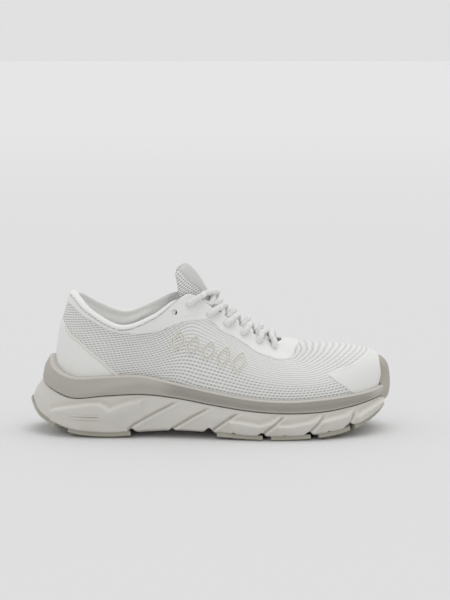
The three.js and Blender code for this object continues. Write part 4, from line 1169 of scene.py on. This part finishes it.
def film(u, low, high, thick, soft, rows):
    """A film over part of the upper between two edges: its outer and inner lattices."""
    share = np.linspace(0, 1, rows)[None, :]
    share = share - 0.12 * np.sin(2 * np.pi * share) / (2 * np.pi)
    v = low[:, None] * (1 - share) + high[:, None] * share
    height = edge_height(upper(u[:, None], v), thick + FILM_SUNK, soft) - FILM_SUNK
    return upper(u[:, None], v, height), upper(u[:, None], v, -FILM_SUNK)


def build_toe_cap():
    """Toe cap: a film between the sole and its drawn edge, narrowing to a rounded tip on each side."""
    tip = 3.43
    s = np.sin(np.linspace(-np.pi / 2, np.pi / 2, 401))
    u = s * tip
    high = edge_function(TOE_CAP_EDGE)(np.abs(u))
    low = np.where(np.abs(u) < 2.25, 0.11, edge_function(TOE_CAP_LOW)(np.abs(u)))
    high = np.maximum(high, low + 1e-5)
    outer, inner = film(u, low, high, 0.7, 1.5, 64)
    shape = Shape().grid(outer).grid(inner)
    shape.finish("toe_film", "shoe", "toe_cap", "Smooth film", ["toe_cap"], 60)


def mirrored_edge(points, u):
    """An edge drawn for the lateral side, read at any u: mirrored about the heel."""
    return edge_function(points)(np.where(u > HEEL, AROUND - u, u))


def build_heel_film():
    """Heel patch: a film between the sole and its edge, and the paler welt that runs along that edge."""
    u = np.linspace(9.6, AROUND - 9.6, 301)
    high = mirrored_edge(HEEL_EDGE, u)
    low = np.full(len(u), 0.115)
    high = np.maximum(high, low + 1e-5)
    outer, inner = film(u, low, high, 0.75, 1.2, 60)
    shape = Shape().grid(outer).grid(inner)
    shape.finish("heel_film", "shoe", "heel_overlay", "Smooth film", ["heel_overlay"], 60)
    for word, flip in (("lateral", False), ("medial", True)):
        curve = smooth_curve(HEEL_EDGE[:-1], 140)
        curve = curve[curve[:, 1] > 0.13]
        cu, cv = curve[:, 0], curve[:, 1]
        cu = AROUND - cu if flip else cu
        middle, normal, _ = upper_frame(cu, cv)
        tangent = unit(np.gradient(middle, axis=0))
        side = unit(np.cross(normal, tangent))
        a = np.linspace(0, 2 * np.pi, 17)
        place = np.arange(len(cu))
        ends = np.sqrt(np.clip(np.minimum(place, place[::-1]) / 4.0, 0, 1))[:, None, None]
        half_width, half_height = 1.35 * np.cos(a), 0.75 * np.sin(a)
        cross = side[:, None] * half_width[None, :, None] + normal[:, None] * half_height[None, :, None]
        points = middle[:, None] + normal[:, None] * 0.45 + cross * ends
        Shape().grid(points).finish("heel_welt_" + word, "shoe", "heel_overlay", "Welt film", (), 70)


def build_collar_band():
    """Smooth band under the collar edge, wide at the heel and narrow at the ankle."""
    u = np.linspace(9.5, AROUND - 9.5, 301)
    low = mirrored_edge(BAND_EDGE, u)
    outer, inner = film(u, low, np.full(len(u), 0.982), 0.75, 0.9, 24)
    shape = Shape().grid(outer).grid(inner)
    shape.finish("collar_band", "shoe", "heel_tab", "Smooth film", ["heel_tab"], 60)


def build_lace_stay():
    """Lace stay: a film along both throat edges and round the throat's front, folded over the edge, with
    punched holes, and a short turned wall in each hole."""
    tip = 9.96
    s = np.linspace(-1, 1, 1501)
    u = tip * np.sin(s * np.pi / 2) * 0.25 + tip * s * 0.75
    low = edge_function(EYESTAY_EDGE)(np.abs(u))
    share = np.linspace(0, 1, 46)[None, :]
    high = 1 - 0.016 * ease(np.abs(u), 8.0, 8.35)
    v = low[:, None] * (1 - share) + np.maximum(high, low)[:, None] * share
    height = edge_height(upper(u[:, None], v), 1.05, 1.3, end=False) - FILM_SUNK
    points = upper(u[:, None], v, height)
    points, keep = punch(points, eyelet_centres(0.7), HOLE_R + 0.15)
    ends = ease(tip - np.abs(u), 0, 0.35) * (1 - 0.75 * ease(np.abs(u), 8.1, 8.4))
    over = [(0.55, 0.55), (-0.1, 0.95), (-1.0, 1.0), (-1.8, 0.5), (-2.05, -0.6)]
    fold = np.stack([points[:, -1]] + [upper(u, high, a * ends, b * ends) for a, b in over], axis=1)
    v_back = high[:, None] - (high - np.minimum(low, high))[:, None] * np.linspace(0.12, 1, 14)[None, :]
    back = upper(u[:, None], v_back, -2.05 * ends[:, None])
    back[:, -1] = points[:, 0]
    back[:, -2] = upper(u, v_back[:, -2], -1.0 * ends)
    shape = Shape().grid(points, None, keep).grid(np.concatenate([fold, back], axis=1))
    shape.finish("lace_stay", "shoe", "eyestay_overlay", "Smooth film", ["eyestay_overlay"], 60)
    us = np.concatenate([EYELET_U, AROUND - EYELET_U])
    vs = np.concatenate([EYELET_V, EYELET_V_MEDIAL])
    centre, normal, rise = upper_frame(us, vs)
    side = np.cross(normal, rise)
    a = np.linspace(0, 2 * np.pi, 25)
    profile = np.array([
        (3.3, 0.55), (3.1, 0.95), (2.75, 1.08), (2.45, 0.85), (2.3, 0.2), (2.3, -2.9), (2.7, -2.9),
        (2.8, 0.3), (3.3, 0.55),
    ])
    circle = side[:, None] * np.cos(a)[None, :, None] + rise[:, None] * np.sin(a)[None, :, None]
    walls = Shape()
    for c, n, ring in zip(centre, normal, circle):
        walls.grid(c + ring[:, None] * profile[None, :, :1] + n * profile[None, :, 1:])
    walls.finish("punched_edges", "shoe", "eyestay_overlay", "Smooth film", (), 60)
    # Painted shade: a black disc behind the free hole on each side, so that the hole looks deep and dark.
    shade_disc = Shape()
    radii = np.array([0.01, 1.2, 2.35, 2.35, 1.2, 0.01])
    depth = np.array([-1.1, -1.1, -1.1, -1.6, -1.6, -1.6])
    for k in (0, len(EYELET_U)):
        c, n, ring = centre[k], normal[k], circle[k]
        shade_disc.grid(c + ring[:, None] * radii[None, :, None] + n * depth[None, :, None])
    shade_disc.finish("hole_shade_disc", "shoe", "eyestay_reinforcement", "Painted hole shade", (), 60)


# ---- Collar ---------------------------------------------------------------------------------------------
# Where the collar starts on the lateral side; it ends at the mirrored u.
COLLAR_U0 = 8.15


def packing(u, v):
    """Thickness between mesh and lining: the stiffener low down, swelling to the padding near the collar."""
    end = AROUND - COLLAR_U0
    along = ease(u, COLLAR_U0, COLLAR_U0 + 1.5) * (1 - ease(u, end - 1.5, end))
    up = ease(v, 0.6, 0.84) * (1 - 0.6 * ease(v, 0.84, 1))
    return COUNTER_T + (PADDING_T - COUNTER_T) * along * up


def build_collar():
    """Padded collar and lining: a closed section at every u, rolled over the mesh's edge, bulging inwards,
    down to the footbed and back up behind the mesh; it closes flat at both ends."""
    u = np.linspace(COLLAR_U0, AROUND - COLLAR_U0, 421)
    ends = (ease(u, u[0], u[0] + 0.45) * (1 - ease(u, u[-1] - 0.45, u[-1])))[:, None]
    crown = -packing(u, 1.0) + INSIDE_MESH - LINING_T
    a = np.linspace(0, np.pi, 13)[None, :]
    middle = (crown + 0.9)[:, None] / 2
    half = (0.9 - crown)[:, None] / 2
    roll_out = middle + half * np.cos(a)
    roll_up = 0.3 + 3.4 * np.sin(a) ** 0.8
    flat = -2.05
    roll = upper(u[:, None], 1.0, flat + (roll_out - flat) * ends, roll_up * ends)
    v = np.concatenate([np.linspace(0.995, 0.6, 40), np.linspace(0.58, 0.08, 26)])[None, :]
    inner = INSIDE_MESH - packing(u[:, None], v) - GAP - LINING_T
    front = upper(u[:, None], v, flat + (inner - flat) * ends)
    back = upper(u[:, None], v[:, ::-1], flat)
    ring = np.concatenate([roll, front, back, roll[:, :1]], axis=1)
    map_column = roll[:, 6:7]
    uv = np.stack(np.broadcast_arrays(lengths_along(map_column, 0), lengths_along(ring, 1)), -1)
    shape = Shape().grid(ring, uv)
    collar = shape.finish("padded_collar", "shoe", "collar_lining", "Lining cloth",
                          ["collar_lining", "collar_foam", "collar_roll"], 70)


# ---- Tongue ---------------------------------------------------------------------------------------------
# Its face in the middle of the shoe: x, z, half width, and how far the edges lie behind the middle.
TONGUE = np.array([
    [226, 65.2, 11, 1.5], [213, 67.6, 13, 4], [203, 70.6, 15, 8], [190, 75.8, 17, 11], [170, 86.8, 18, 14],
    [154, 100.5, 17, 18], [146, 114, 17.5, 21.5], [138, 128, 19, 19], [127.5, 140.5, 16, 10],
])


def tongue_column(k, s):
    """One column of the tongue's table at s, by the Catmull-Rom cubic with its end rows repeated."""
    last = len(TONGUE) - 1
    place = np.minimum(np.asarray(s, float) * last, last - 1e-6)
    i = np.floor(place).astype(int)
    f = place - i
    a, b, c, d = (TONGUE[np.clip(i + j, 0, last), k] for j in (-1, 0, 1, 2))
    return b + 0.5 * f * (c - a + f * (2 * a - 5 * b + 4 * c - d + f * (3 * (b - c) + d - a)))


def tongue_face(s, w, offset=0.0):
    """The tongue's face at s, base to top, and w, edge to edge: a middle line with a parabola across it."""
    s, w, offset = np.broadcast_arrays(np.asarray(s, float), w, offset)
    step = 0.01

    def middle(t):
        return np.stack([tongue_column(0, t), np.zeros(t.shape), tongue_column(1, t)], -1)

    along = unit(middle(np.minimum(1, s + step)) - middle(np.maximum(0, s - step)))
    front = np.stack([along[..., 2], np.zeros(s.shape), -along[..., 0]], -1)
    half_width, droop = tongue_column(2, s), tongue_column(3, s)
    tilt = np.arctan2(2 * droop * w, half_width)
    normal = front * np.cos(tilt)[..., None]
    normal[..., 1] = np.sin(tilt)
    point = middle(s) - front * (droop * w * w)[..., None]
    point[..., 1] += half_width * w
    return point + normal * offset[..., None]


# Where the tongue's rounded top starts, as a share of its length, and how long it is.
TOP_START, TOP_LENGTH = 0.93, 0.07


def tongue_shell(s, w, proud=0.0):
    """The padded tongue: past s = 1 it comes back down behind. Half its thickness is a rounded box across
    and round the top, about a middle layer."""
    behind = s > 1
    place = np.where(behind, 2 - s, s)
    thick = 6.4 * ease(place, -0.05, 0.25) + 1.2
    across = np.sqrt(np.clip(1 - np.abs(w) ** 8, 0, 1))
    top = np.sqrt(np.clip(1 - np.clip((place - TOP_START) / TOP_LENGTH, 0, 1) ** 2, 0, 1))
    half = thick / 2 * across * top
    offset = -thick / 2 + np.where(behind, -half - proud, half + proud)
    point = tongue_face(place, w, offset)
    rise = unit(tongue_face(np.ones(1), np.zeros(1)) - tongue_face(np.full(1, 0.96), np.zeros(1)))
    return point + rise * (proud * (1 - top))[..., None]


def over_top(start, count, behind=None):
    """Values of s from start up to the top, closer together round it, and on down behind: all of them, or
    as many as the number behind gives, less one."""
    bend = 1 - TOP_LENGTH * (1 - np.sin(np.linspace(0.1, np.pi / 2, 12)))
    s = np.concatenate([np.linspace(start, TOP_START, count), bend])
    return np.concatenate([s, (2 - s)[::-1][1:behind]])[:, None]


def build_tongue():
    """Padded tongue, and the plain patch that wraps its top edge."""
    s = over_top(0, 90)
    w = np.sin(np.linspace(-np.pi / 2, np.pi / 2, 61))[None, :]
    s, w = np.broadcast_arrays(s, w)
    points = tongue_shell(s, w)
    middle = points.shape[1] // 2
    length = np.broadcast_to(lengths_along(points, 0)[:, middle:middle + 1], s.shape)
    uv = np.stack([lengths_along(points, 1), length], -1)
    shape = Shape().grid(points, uv).grid(np.stack([points[0], points[-1]]))
    tongue = shape.finish("padded_tongue", "tongue", "tongue_face", "Tongue mesh",
                          ["tongue_face", "tongue_foam", "tongue_lining"], 70)
    s = over_top(0.72, 30, 30)
    place = np.minimum(s, 2 - s)
    w = np.linspace(-1, 1, 41)[None, :] * (0.42 + 0.38 * ease(place, 0.76, 0.97))
    s, w = np.broadcast_arrays(s, w)
    rows = np.arange(len(s))[:, None]
    columns = np.arange(w.shape[1])[None, :]
    from_end = np.minimum(rows, len(s) - 1 - rows)
    from_side = np.minimum(columns, w.shape[1] - 1 - columns)
    edge = np.minimum(from_end * 1.2, from_side) * 0.8
    rim = np.sqrt(1 - (1 - np.clip(edge / 1.6, 0, 1)) ** 2)
    shape = Shape().grid(tongue_shell(s, w, 0.7 * rim - 0.1)).grid(tongue_shell(s, w, -0.1))
    shape.finish("tongue_patch", "tongue", "tongue_label", "Tongue label", ["tongue_label"], 60)


# ---- Lace -----------------------------------------------------------------------------------------------
# Half the width of lace that the route leaves room for, and the heights at which it passes the throat edge.
LACE_R = 1.9
OVER_EDGE = GAP + OVERLAY_T + GAP + LACE_R + 1
UNDER_EDGE = -(MESH_T + GAP + REINFORCEMENT_T + GAP + LACE_R + 0.9)


def at_upper(u, v, offset):
    """One point of the upper as a plain array."""
    return upper(np.array([u]), np.array([v]), np.array([offset]))[0]


def through_eyelet(side, row):
    """From outside, over the throat edge, down through a hole and back under the edge."""
    u = EYELET_U[row] if side < 0 else AROUND - EYELET_U[row]
    v = (EYELET_V if side < 0 else EYELET_V_MEDIAL)[row]
    to_toe = -0.1 if side < 0 else 0.1
    gap = 1 - v
    past = upper_frame(np.array([u]), np.array([1.0]))[2][0] * 2.5
    return [
        at_upper(u + to_toe * 4.2, 1, OVER_EDGE + 0.2) + past,
        at_upper(u + to_toe * 3.2, 1, OVER_EDGE + 0.3),
        at_upper(u + to_toe * 1.5, v + gap * 0.42, OVER_EDGE - 0.1),
        at_upper(u + to_toe * 0.3, v + gap * 0.06, OVER_EDGE - 1.7),
        at_upper(u, v, -0.8),
        at_upper(u, v + gap * 0.05, UNDER_EDGE + 1.6),
        at_upper(u - to_toe * 0.4, v + gap * 0.35, UNDER_EDGE),
        at_upper(u - to_toe * 1.5, 1, UNDER_EDGE),
        at_upper(u - to_toe * 2.2, 1, UNDER_EDGE + 0.6) + past,
    ]


def tongue_share(row):
    """The s at which the tongue's edge comes nearest to the throat edge at a row."""
    edge = on_upper(np.array([EYELET_U[row]]), np.array([1.0]))[0]
    s = np.arange(200) / 200
    return s[np.linalg.norm(tongue_face(s, -0.9) - edge, axis=-1).argmin()]


def crossing(from_side, row):
    """Over the tongue, from under the edge at row + 1 on one side to over the edge at row on the other."""
    s0, s1 = tongue_share(row + 1), tongue_share(row)
    on_top = from_side > 0
    rest = LACE_R + 0.8
    points = []
    for t in (-0.5, 0.0, 0.5):
        lift = rest + 4.2 if t == 0 and on_top else rest + (1.4 if on_top else 0.3)
        points.append(tongue_face(np.array([s0 + (s1 - s0) * (0.4 + t * 0.56)]), -from_side * t, lift)[0])
    return points


def lace_route():
    """Control points of the whole lace, tail to tail, crossing at every row and barred at the last."""

    def tail(side):
        u = EYELET_U[1] if side < 0 else AROUND - EYELET_U[1]
        v = (EYELET_V if side < 0 else EYELET_V_MEDIAL)[1]
        drift = -0.12 if side < 0 else 0.12
        return [at_upper(u + drift * 4 * t, v - (v - 0.3) * t, UNDER_EDGE) for t in (0.2, 0.42, 0.64, 0.86)]

    points = tail(-1)[::-1]
    for k, (side, row) in enumerate([(-1, 1), (1, 2), (-1, 3), (1, 4), (-1, 5), (1, 6)]):
        passed = through_eyelet(side, row)[::-1]
        points += passed[3:] if k == 0 else passed
        if row < 6:
            points += crossing(-side, row)[::-1]
    ends = through_eyelet(1, 6)[0], through_eyelet(-1, 6)[0]
    points.append((ends[0] + ends[1]) / 2 + np.array([0, 0, 0.8]))
    for k, (side, row) in enumerate([(-1, 6), (1, 5), (-1, 4), (1, 3), (-1, 2), (1, 1)]):
        if k:
            points += crossing(-side, row)
        passed = through_eyelet(side, row)
        points += passed[:-3] if k == 5 else passed
    return np.array(points + tail(1))


def build_lace():
    """The lace: a round tube with domed ends along its route."""
    route = lace_route()
    path = smooth_curve(route, len(route) * 12)
    points, uv = tube(*capped(path, sizes().lace_width / 2 * 1000), sides=14)
    shape = Shape().grid(points, uv)
    shape.finish("braided_lace", "shoe", "shoelace", "Braided lace", ["shoelace"], 80)


# ---- Stitching and ornament -----------------------------------------------------------------------------


def stitch_row(shape, u, v, offset, length=2.1, gap=1.0, radius=0.32):
    """Stitches along a line on the upper: small capsules of six-sided rings, set down at even spacing."""
    points, normal, _ = upper_frame(u, v)
    points = points + normal * offset
    run = lengths_along(points[:, None], 0)[:, 0]
    at = np.arange(gap, run[-1] - gap, length + gap)
    place = np.stack([np.interp(at, run, points[:, k]) for k in range(3)], -1)
    up = unit(np.stack([np.interp(at, run, normal[:, k]) for k in range(3)], -1))
    tangent = unit(np.stack([np.interp(at, run, np.gradient(points[:, k])) for k in range(3)], -1))
    side = np.cross(up, tangent)
    t = np.array([-0.5, -0.42, 0.0, 0.42, 0.5]) * length
    radii = np.array([0.0, 0.75, 1.0, 0.75, 0.0]) * radius
    a = np.linspace(0, 2 * np.pi, 7)
    for p, n, d, s in zip(place, up, tangent, side):
        ring = p + d * t[:, None, None] + radii[:, None, None] * (
            s * np.cos(a)[None, :, None] + n * (0.8 * np.sin(a))[None, :, None])
        shape.grid(ring, np.zeros((len(t), len(a), 2)))


def build_stitching():
    """Rows of stitches: round the free hole's side of the stay, along the stay and along the collar band."""
    shape = Shape()
    for mirror in (False, True):
        def flip(u):
            return AROUND - u if mirror else u

        low = edge_function(EYESTAY_EDGE)
        u = np.linspace(7.55, 9.3, 200)
        stitch_row(shape, flip(u), np.minimum(low(u) + 0.055, 0.97), 0.85)
        u = np.linspace(9.9, 12.98, 240)
        stitch_row(shape, flip(u), mirrored_edge(BAND_EDGE, u) + 0.018, 0.8)
        u = np.linspace(0.05, 3.3, 200)
        stitch_row(shape, flip(u), edge_function(TOE_CAP_EDGE)(u) - 0.02, 0.72, 2.3, 0.9, 0.28)
    shape.finish("stitch_rows", "shoe", "eyestay_overlay", "Stitching", (), 80)


EMBLEM_MIDDLES = [(121, 79), (133.5, 75.5), (146, 71.5), (158.5, 67), (171, 62.5)]


def build_emblem():
    """A plain row of embroidered diamonds: closed tubes along rounded diamonds drawn in the side view, whose
    u and v are found by Newton's method."""
    shape = Shape()
    a = np.linspace(0, 2 * np.pi, 72, endpoint=False)
    dx = 5.6 * np.sign(np.cos(a)) * np.abs(np.cos(a)) ** 1.5
    dz = 7.6 * np.sign(np.sin(a)) * np.abs(np.sin(a)) ** 1.5
    for x, z in EMBLEM_MIDDLES:
        for scale in (1.0, 0.66):
            target_x, target_z = x + scale * (dx + 0.3 * dz), z + scale * dz
            us, vs = np.full(len(a), 6.8), np.full(len(a), 0.6)
            for _ in range(12):
                here = on_upper(us, vs)
                du = (on_upper(us + 0.01, vs) - here)[:, [0, 2]] / 0.01
                dv = (on_upper(us, vs + 0.01) - here)[:, [0, 2]] / 0.01
                ex, ez = target_x - here[:, 0], target_z - here[:, 2]
                area = du[:, 0] * dv[:, 1] - du[:, 1] * dv[:, 0]
                us = us + np.clip((ex * dv[:, 1] - ez * dv[:, 0]) / area, -0.5, 0.5)
                vs = np.clip(vs + np.clip((ez * du[:, 0] - ex * du[:, 1]) / area, -0.1, 0.1), 0.2, 0.98)
            for mirror in (False, True):
                path = upper(AROUND - us if mirror else us, vs, np.full(len(a), 0.3))
                points, uv = tube(path, 0.6, 8, closed=True)
                shape.grid(points, uv)
    shape.finish("embroidered_diamonds", "shoe", "mesh_upper", "Stitching", (), 80)


def build_dash():
    """Two plain raised bars on the heel's sidewall, a thin one over a thicker one, on each side."""
    shape = Shape()
    for side, z, radius in ((-1, 18.6, 0.55), (1, 18.6, 0.55), (-1, 16.4, 0.85), (1, 16.4, 0.85)):
        x = np.linspace(34, 60, 40)
        u = u_at(x, side)
        share = (z - column("edge", u)) / ((column("joint", u) - column("edge", u)) / 2)
        inset = -column("flare", u) * (1 - share) + (-column("flare", u) / 2 - 0.9) * share
        path = outline(u, inset - 1.9, z)
        points, uv = tube(*capped(path, radius), sides=10)
        shape.grid(points, uv)
    shape.finish("heel_dash", "shoe", "midsole_carrier", "White foam", (), 60)


def dress_inner_parts():
    """Gives the hidden stiff parts their finishes, on their own material slots."""
    kinds = {
        "strobel_board": "Stiff board", "heel_counter": "Stiffener", "toe_puff": "Stiffener",
        "eyestay_reinforcement": "Stiffener", "aglet_lateral": "Lace tip", "aglet_medial": "Lace tip",
    }
    for name, kind in kinds.items():
        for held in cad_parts[name].material_slots:
            held.material = finish_of(kind)


# ---- Stage ----------------------------------------------------------------------------------------------
# Where the camera stands and looks, in the shapes' own millimetres, and its focal length.
EYE = [159.47, -1485.4, 317.1]
TARGET = [159.47, 0, 108.35]
FOCAL_LENGTH = 107.96


def build_stage():
    """Pale round floor that brightens a little with distance to meet the even surroundings, a wide soft
    overhead light, and the camera."""
    scene = bpy.context.scene
    colours, measures = scene.shoe_colours, sizes()
    radius = np.concatenate([[0.0], np.geomspace(0.4, 40.0, 12)])
    a = np.linspace(0, 2 * np.pi, 97)[:, None]
    points = np.stack([np.cos(a) * radius, np.sin(a) * radius, np.zeros((len(a), len(radius)))], -1)
    mesh = bpy.data.meshes.new("paper_sweep")
    mesh.from_pydata(points.reshape(-1, 3).tolist(), [], lattice(*points.shape[:2])[:, ::-1].tolist())
    material, w, shader = new_finish("Pale paper", 0.9, specular=0.1)
    place = w.node("ShaderNodeTexCoord").outputs["Object"]
    distance = w.node("ShaderNodeVectorMath", {0: place}, operation="LENGTH").outputs["Value"]
    near, far = (*colours.paper, 1), (*(1.07 * value for value in colours.paper), 1)
    w.feed(shader.inputs["Base Color"], w.blend(w.step(distance, 0.5, 6.0), near, far))
    mesh.materials.append(material)
    sweep = bpy.data.objects.new("paper_sweep", mesh)
    scene.collection.objects.link(sweep)

    world = bpy.data.worlds.new("Studio")
    world.use_nodes = True
    world.node_tree.nodes["Background"].inputs[0].default_value = (1, 1, 1, 1)
    world.node_tree.nodes["Background"].inputs[1].default_value = measures.fill
    scene.world = world

    lamp = bpy.data.lights.new("overhead_light", "SUN")
    lamp.energy, lamp.angle = measures.key, math.radians(50)
    overhead = bpy.data.objects.new("overhead_light", lamp)
    overhead.rotation_euler = Vector((0.12, 0.1, 1.0)).to_track_quat("Z", "Y").to_euler()
    scene.collection.objects.link(overhead)

    eye, target = to_frame(EYE), to_frame(TARGET)
    lens = bpy.data.cameras.new("camera")
    lens.sensor_width, lens.lens = 36.0, FOCAL_LENGTH
    lens.clip_start, lens.clip_end = 0.05, 50.0
    held = bpy.data.objects.new("camera", lens)
    held.location = eye
    held.rotation_euler = (Vector(target) - Vector(eye)).to_track_quat("-Z", "Y").to_euler()
    scene.collection.objects.link(held)
    scene.camera = held
    scene.view_settings.view_transform = "Standard"


# ---- Properties, operators and panel --------------------------------------------------------------------


class ShoeSizes(bpy.types.PropertyGroup):
    lace_width: bpy.props.FloatProperty(
        name="Lace width", description="Width of the round lace", default=0.0050, min=0.002, max=0.006,
        subtype="DISTANCE", unit="LENGTH")
    key: bpy.props.FloatProperty(
        name="Overhead light", description="Strength of the overhead light", default=0.8, min=0, soft_max=5)
    fill: bpy.props.FloatProperty(
        name="Fill", description="Strength of the even light all round", default=0.75, min=0, soft_max=2)


def colour_property(name, description, default):
    """A colour that a user may change."""
    return bpy.props.FloatVectorProperty(
        name=name, description=description, default=default, subtype="COLOR", size=3, min=0, max=1)


class ShoeColours(bpy.types.PropertyGroup):
    knit: colour_property("Knit", "Colour of the knitted mesh", (0.84, 0.84, 0.825))
    film: colour_property("Film", "Colour of the smooth overlays", (0.83, 0.835, 0.81))
    welt: colour_property("Welt", "Colour of the welt on the heel patch", (0.76, 0.74, 0.69))
    lining: colour_property("Lining", "Colour of the lining cloth", (0.93, 0.94, 0.91))
    lace: colour_property("Lace", "Colour of the lace", (0.93, 0.93, 0.91))
    thread: colour_property("Thread", "Colour of the stitches and ornament", (0.86, 0.845, 0.77))
    label: colour_property("Label", "Colour of the patch on the tongue", (0.60, 0.60, 0.59))
    carrier: colour_property("Lower foam", "Colour of the lower foam", (0.665, 0.645, 0.6))
    rim: colour_property("Upper foam", "Colour of the upper foam", (0.48, 0.455, 0.415))
    rubber: colour_property("Rubber", "Colour of the outsole rubber", (0.46, 0.445, 0.38))
    bumper: colour_property("Toe rubber", "Colour of the rubber over the toe", (0.45, 0.42, 0.365))
    # This colour is also used for painted shade near the ground and in the sole's grooves.
    dust_and_shade: colour_property("Dust", "Colour of the dust near the ground", (0.42, 0.39, 0.34))
    paper: colour_property("Paper", "Colour of the floor", (0.74, 0.74, 0.745))


def sizes():
    """The sizes a user may change."""
    return bpy.context.scene.shoe_sizes


def shoe_operator(identifier, label, text, *steps):
    """One operator that runs its building functions; a failure raises and stops the script."""

    def execute(self, context):
        for step in steps:
            step()
        return {"FINISHED"}

    return type("SHOE_OT_" + identifier, (bpy.types.Operator,), {
        "__doc__": text, "bl_idname": "shoe." + identifier, "bl_label": label, "execute": execute})


OPERATORS = [
    shoe_operator("finishes", "Shared effects", "Build the node groups that the finishes share",
                  make_shared_groups),
    shoe_operator("stage", "Stage", "Build the floor, the overhead light and the camera", build_stage),
    shoe_operator("sole", "Foam sole", "Build the lower foam, the upper foam and the bars at the heel",
                  build_carrier, build_rim, build_dash),
    shoe_operator("rubber", "Rubber", "Build the outsole pads and the toe guard",
                  build_outsole, build_bumper),
    shoe_operator("knit", "Knitted upper", "Build the knitted upper", build_knit),
    shoe_operator("films", "Smooth overlays", "Build the toe cap, heel patch, collar band and lace stay",
                  build_toe_cap, build_heel_film, build_collar_band, build_lace_stay),
    shoe_operator("padding", "Collar, tongue and sockliner", "Build the padded pieces and the sockliner",
                  build_collar, build_tongue, build_sockliner),
    shoe_operator("lace", "Lace", "Build the braided lace along its route", build_lace),
    shoe_operator("ornament", "Stitching", "Build the stitch rows and the row of diamonds",
                  build_stitching, build_emblem),
    shoe_operator("inner", "Inner parts", "Give the hidden parts their finishes", dress_inner_parts),
]


class SHOE_PT_panel(bpy.types.Panel):
    """Lists the shoe's sizes, colours and building steps."""

    bl_label = "Running Shoe"
    bl_idname = "SHOE_PT_panel"
    bl_space_type = "VIEW_3D"
    bl_region_type = "UI"
    bl_category = "Shoe"

    def draw(self, context):
        for group in (context.scene.shoe_sizes, context.scene.shoe_colours):
            for name in group.__annotations__:
                self.layout.prop(group, name)
        for operator in OPERATORS:
            self.layout.operator(operator.bl_idname)


CLASSES = [ShoeSizes, ShoeColours, *OPERATORS, SHOE_PT_panel]


def register():
    for cls in CLASSES:
        bpy.utils.register_class(cls)
    bpy.types.Scene.shoe_sizes = bpy.props.PointerProperty(type=ShoeSizes)
    bpy.types.Scene.shoe_colours = bpy.props.PointerProperty(type=ShoeColours)


def unregister():
    del bpy.types.Scene.shoe_colours
    del bpy.types.Scene.shoe_sizes
    for cls in reversed(CLASSES):
        bpy.utils.unregister_class(cls)


def main():
    """Registers the classes, runs every step in order and writes the two boxes."""
    register()
    for operator in OPERATORS:
        getattr(bpy.ops.shoe, operator.bl_idname.split(".")[1])()
    bpy.context.view_layer.update()


if __name__ == "__main__":
    main()
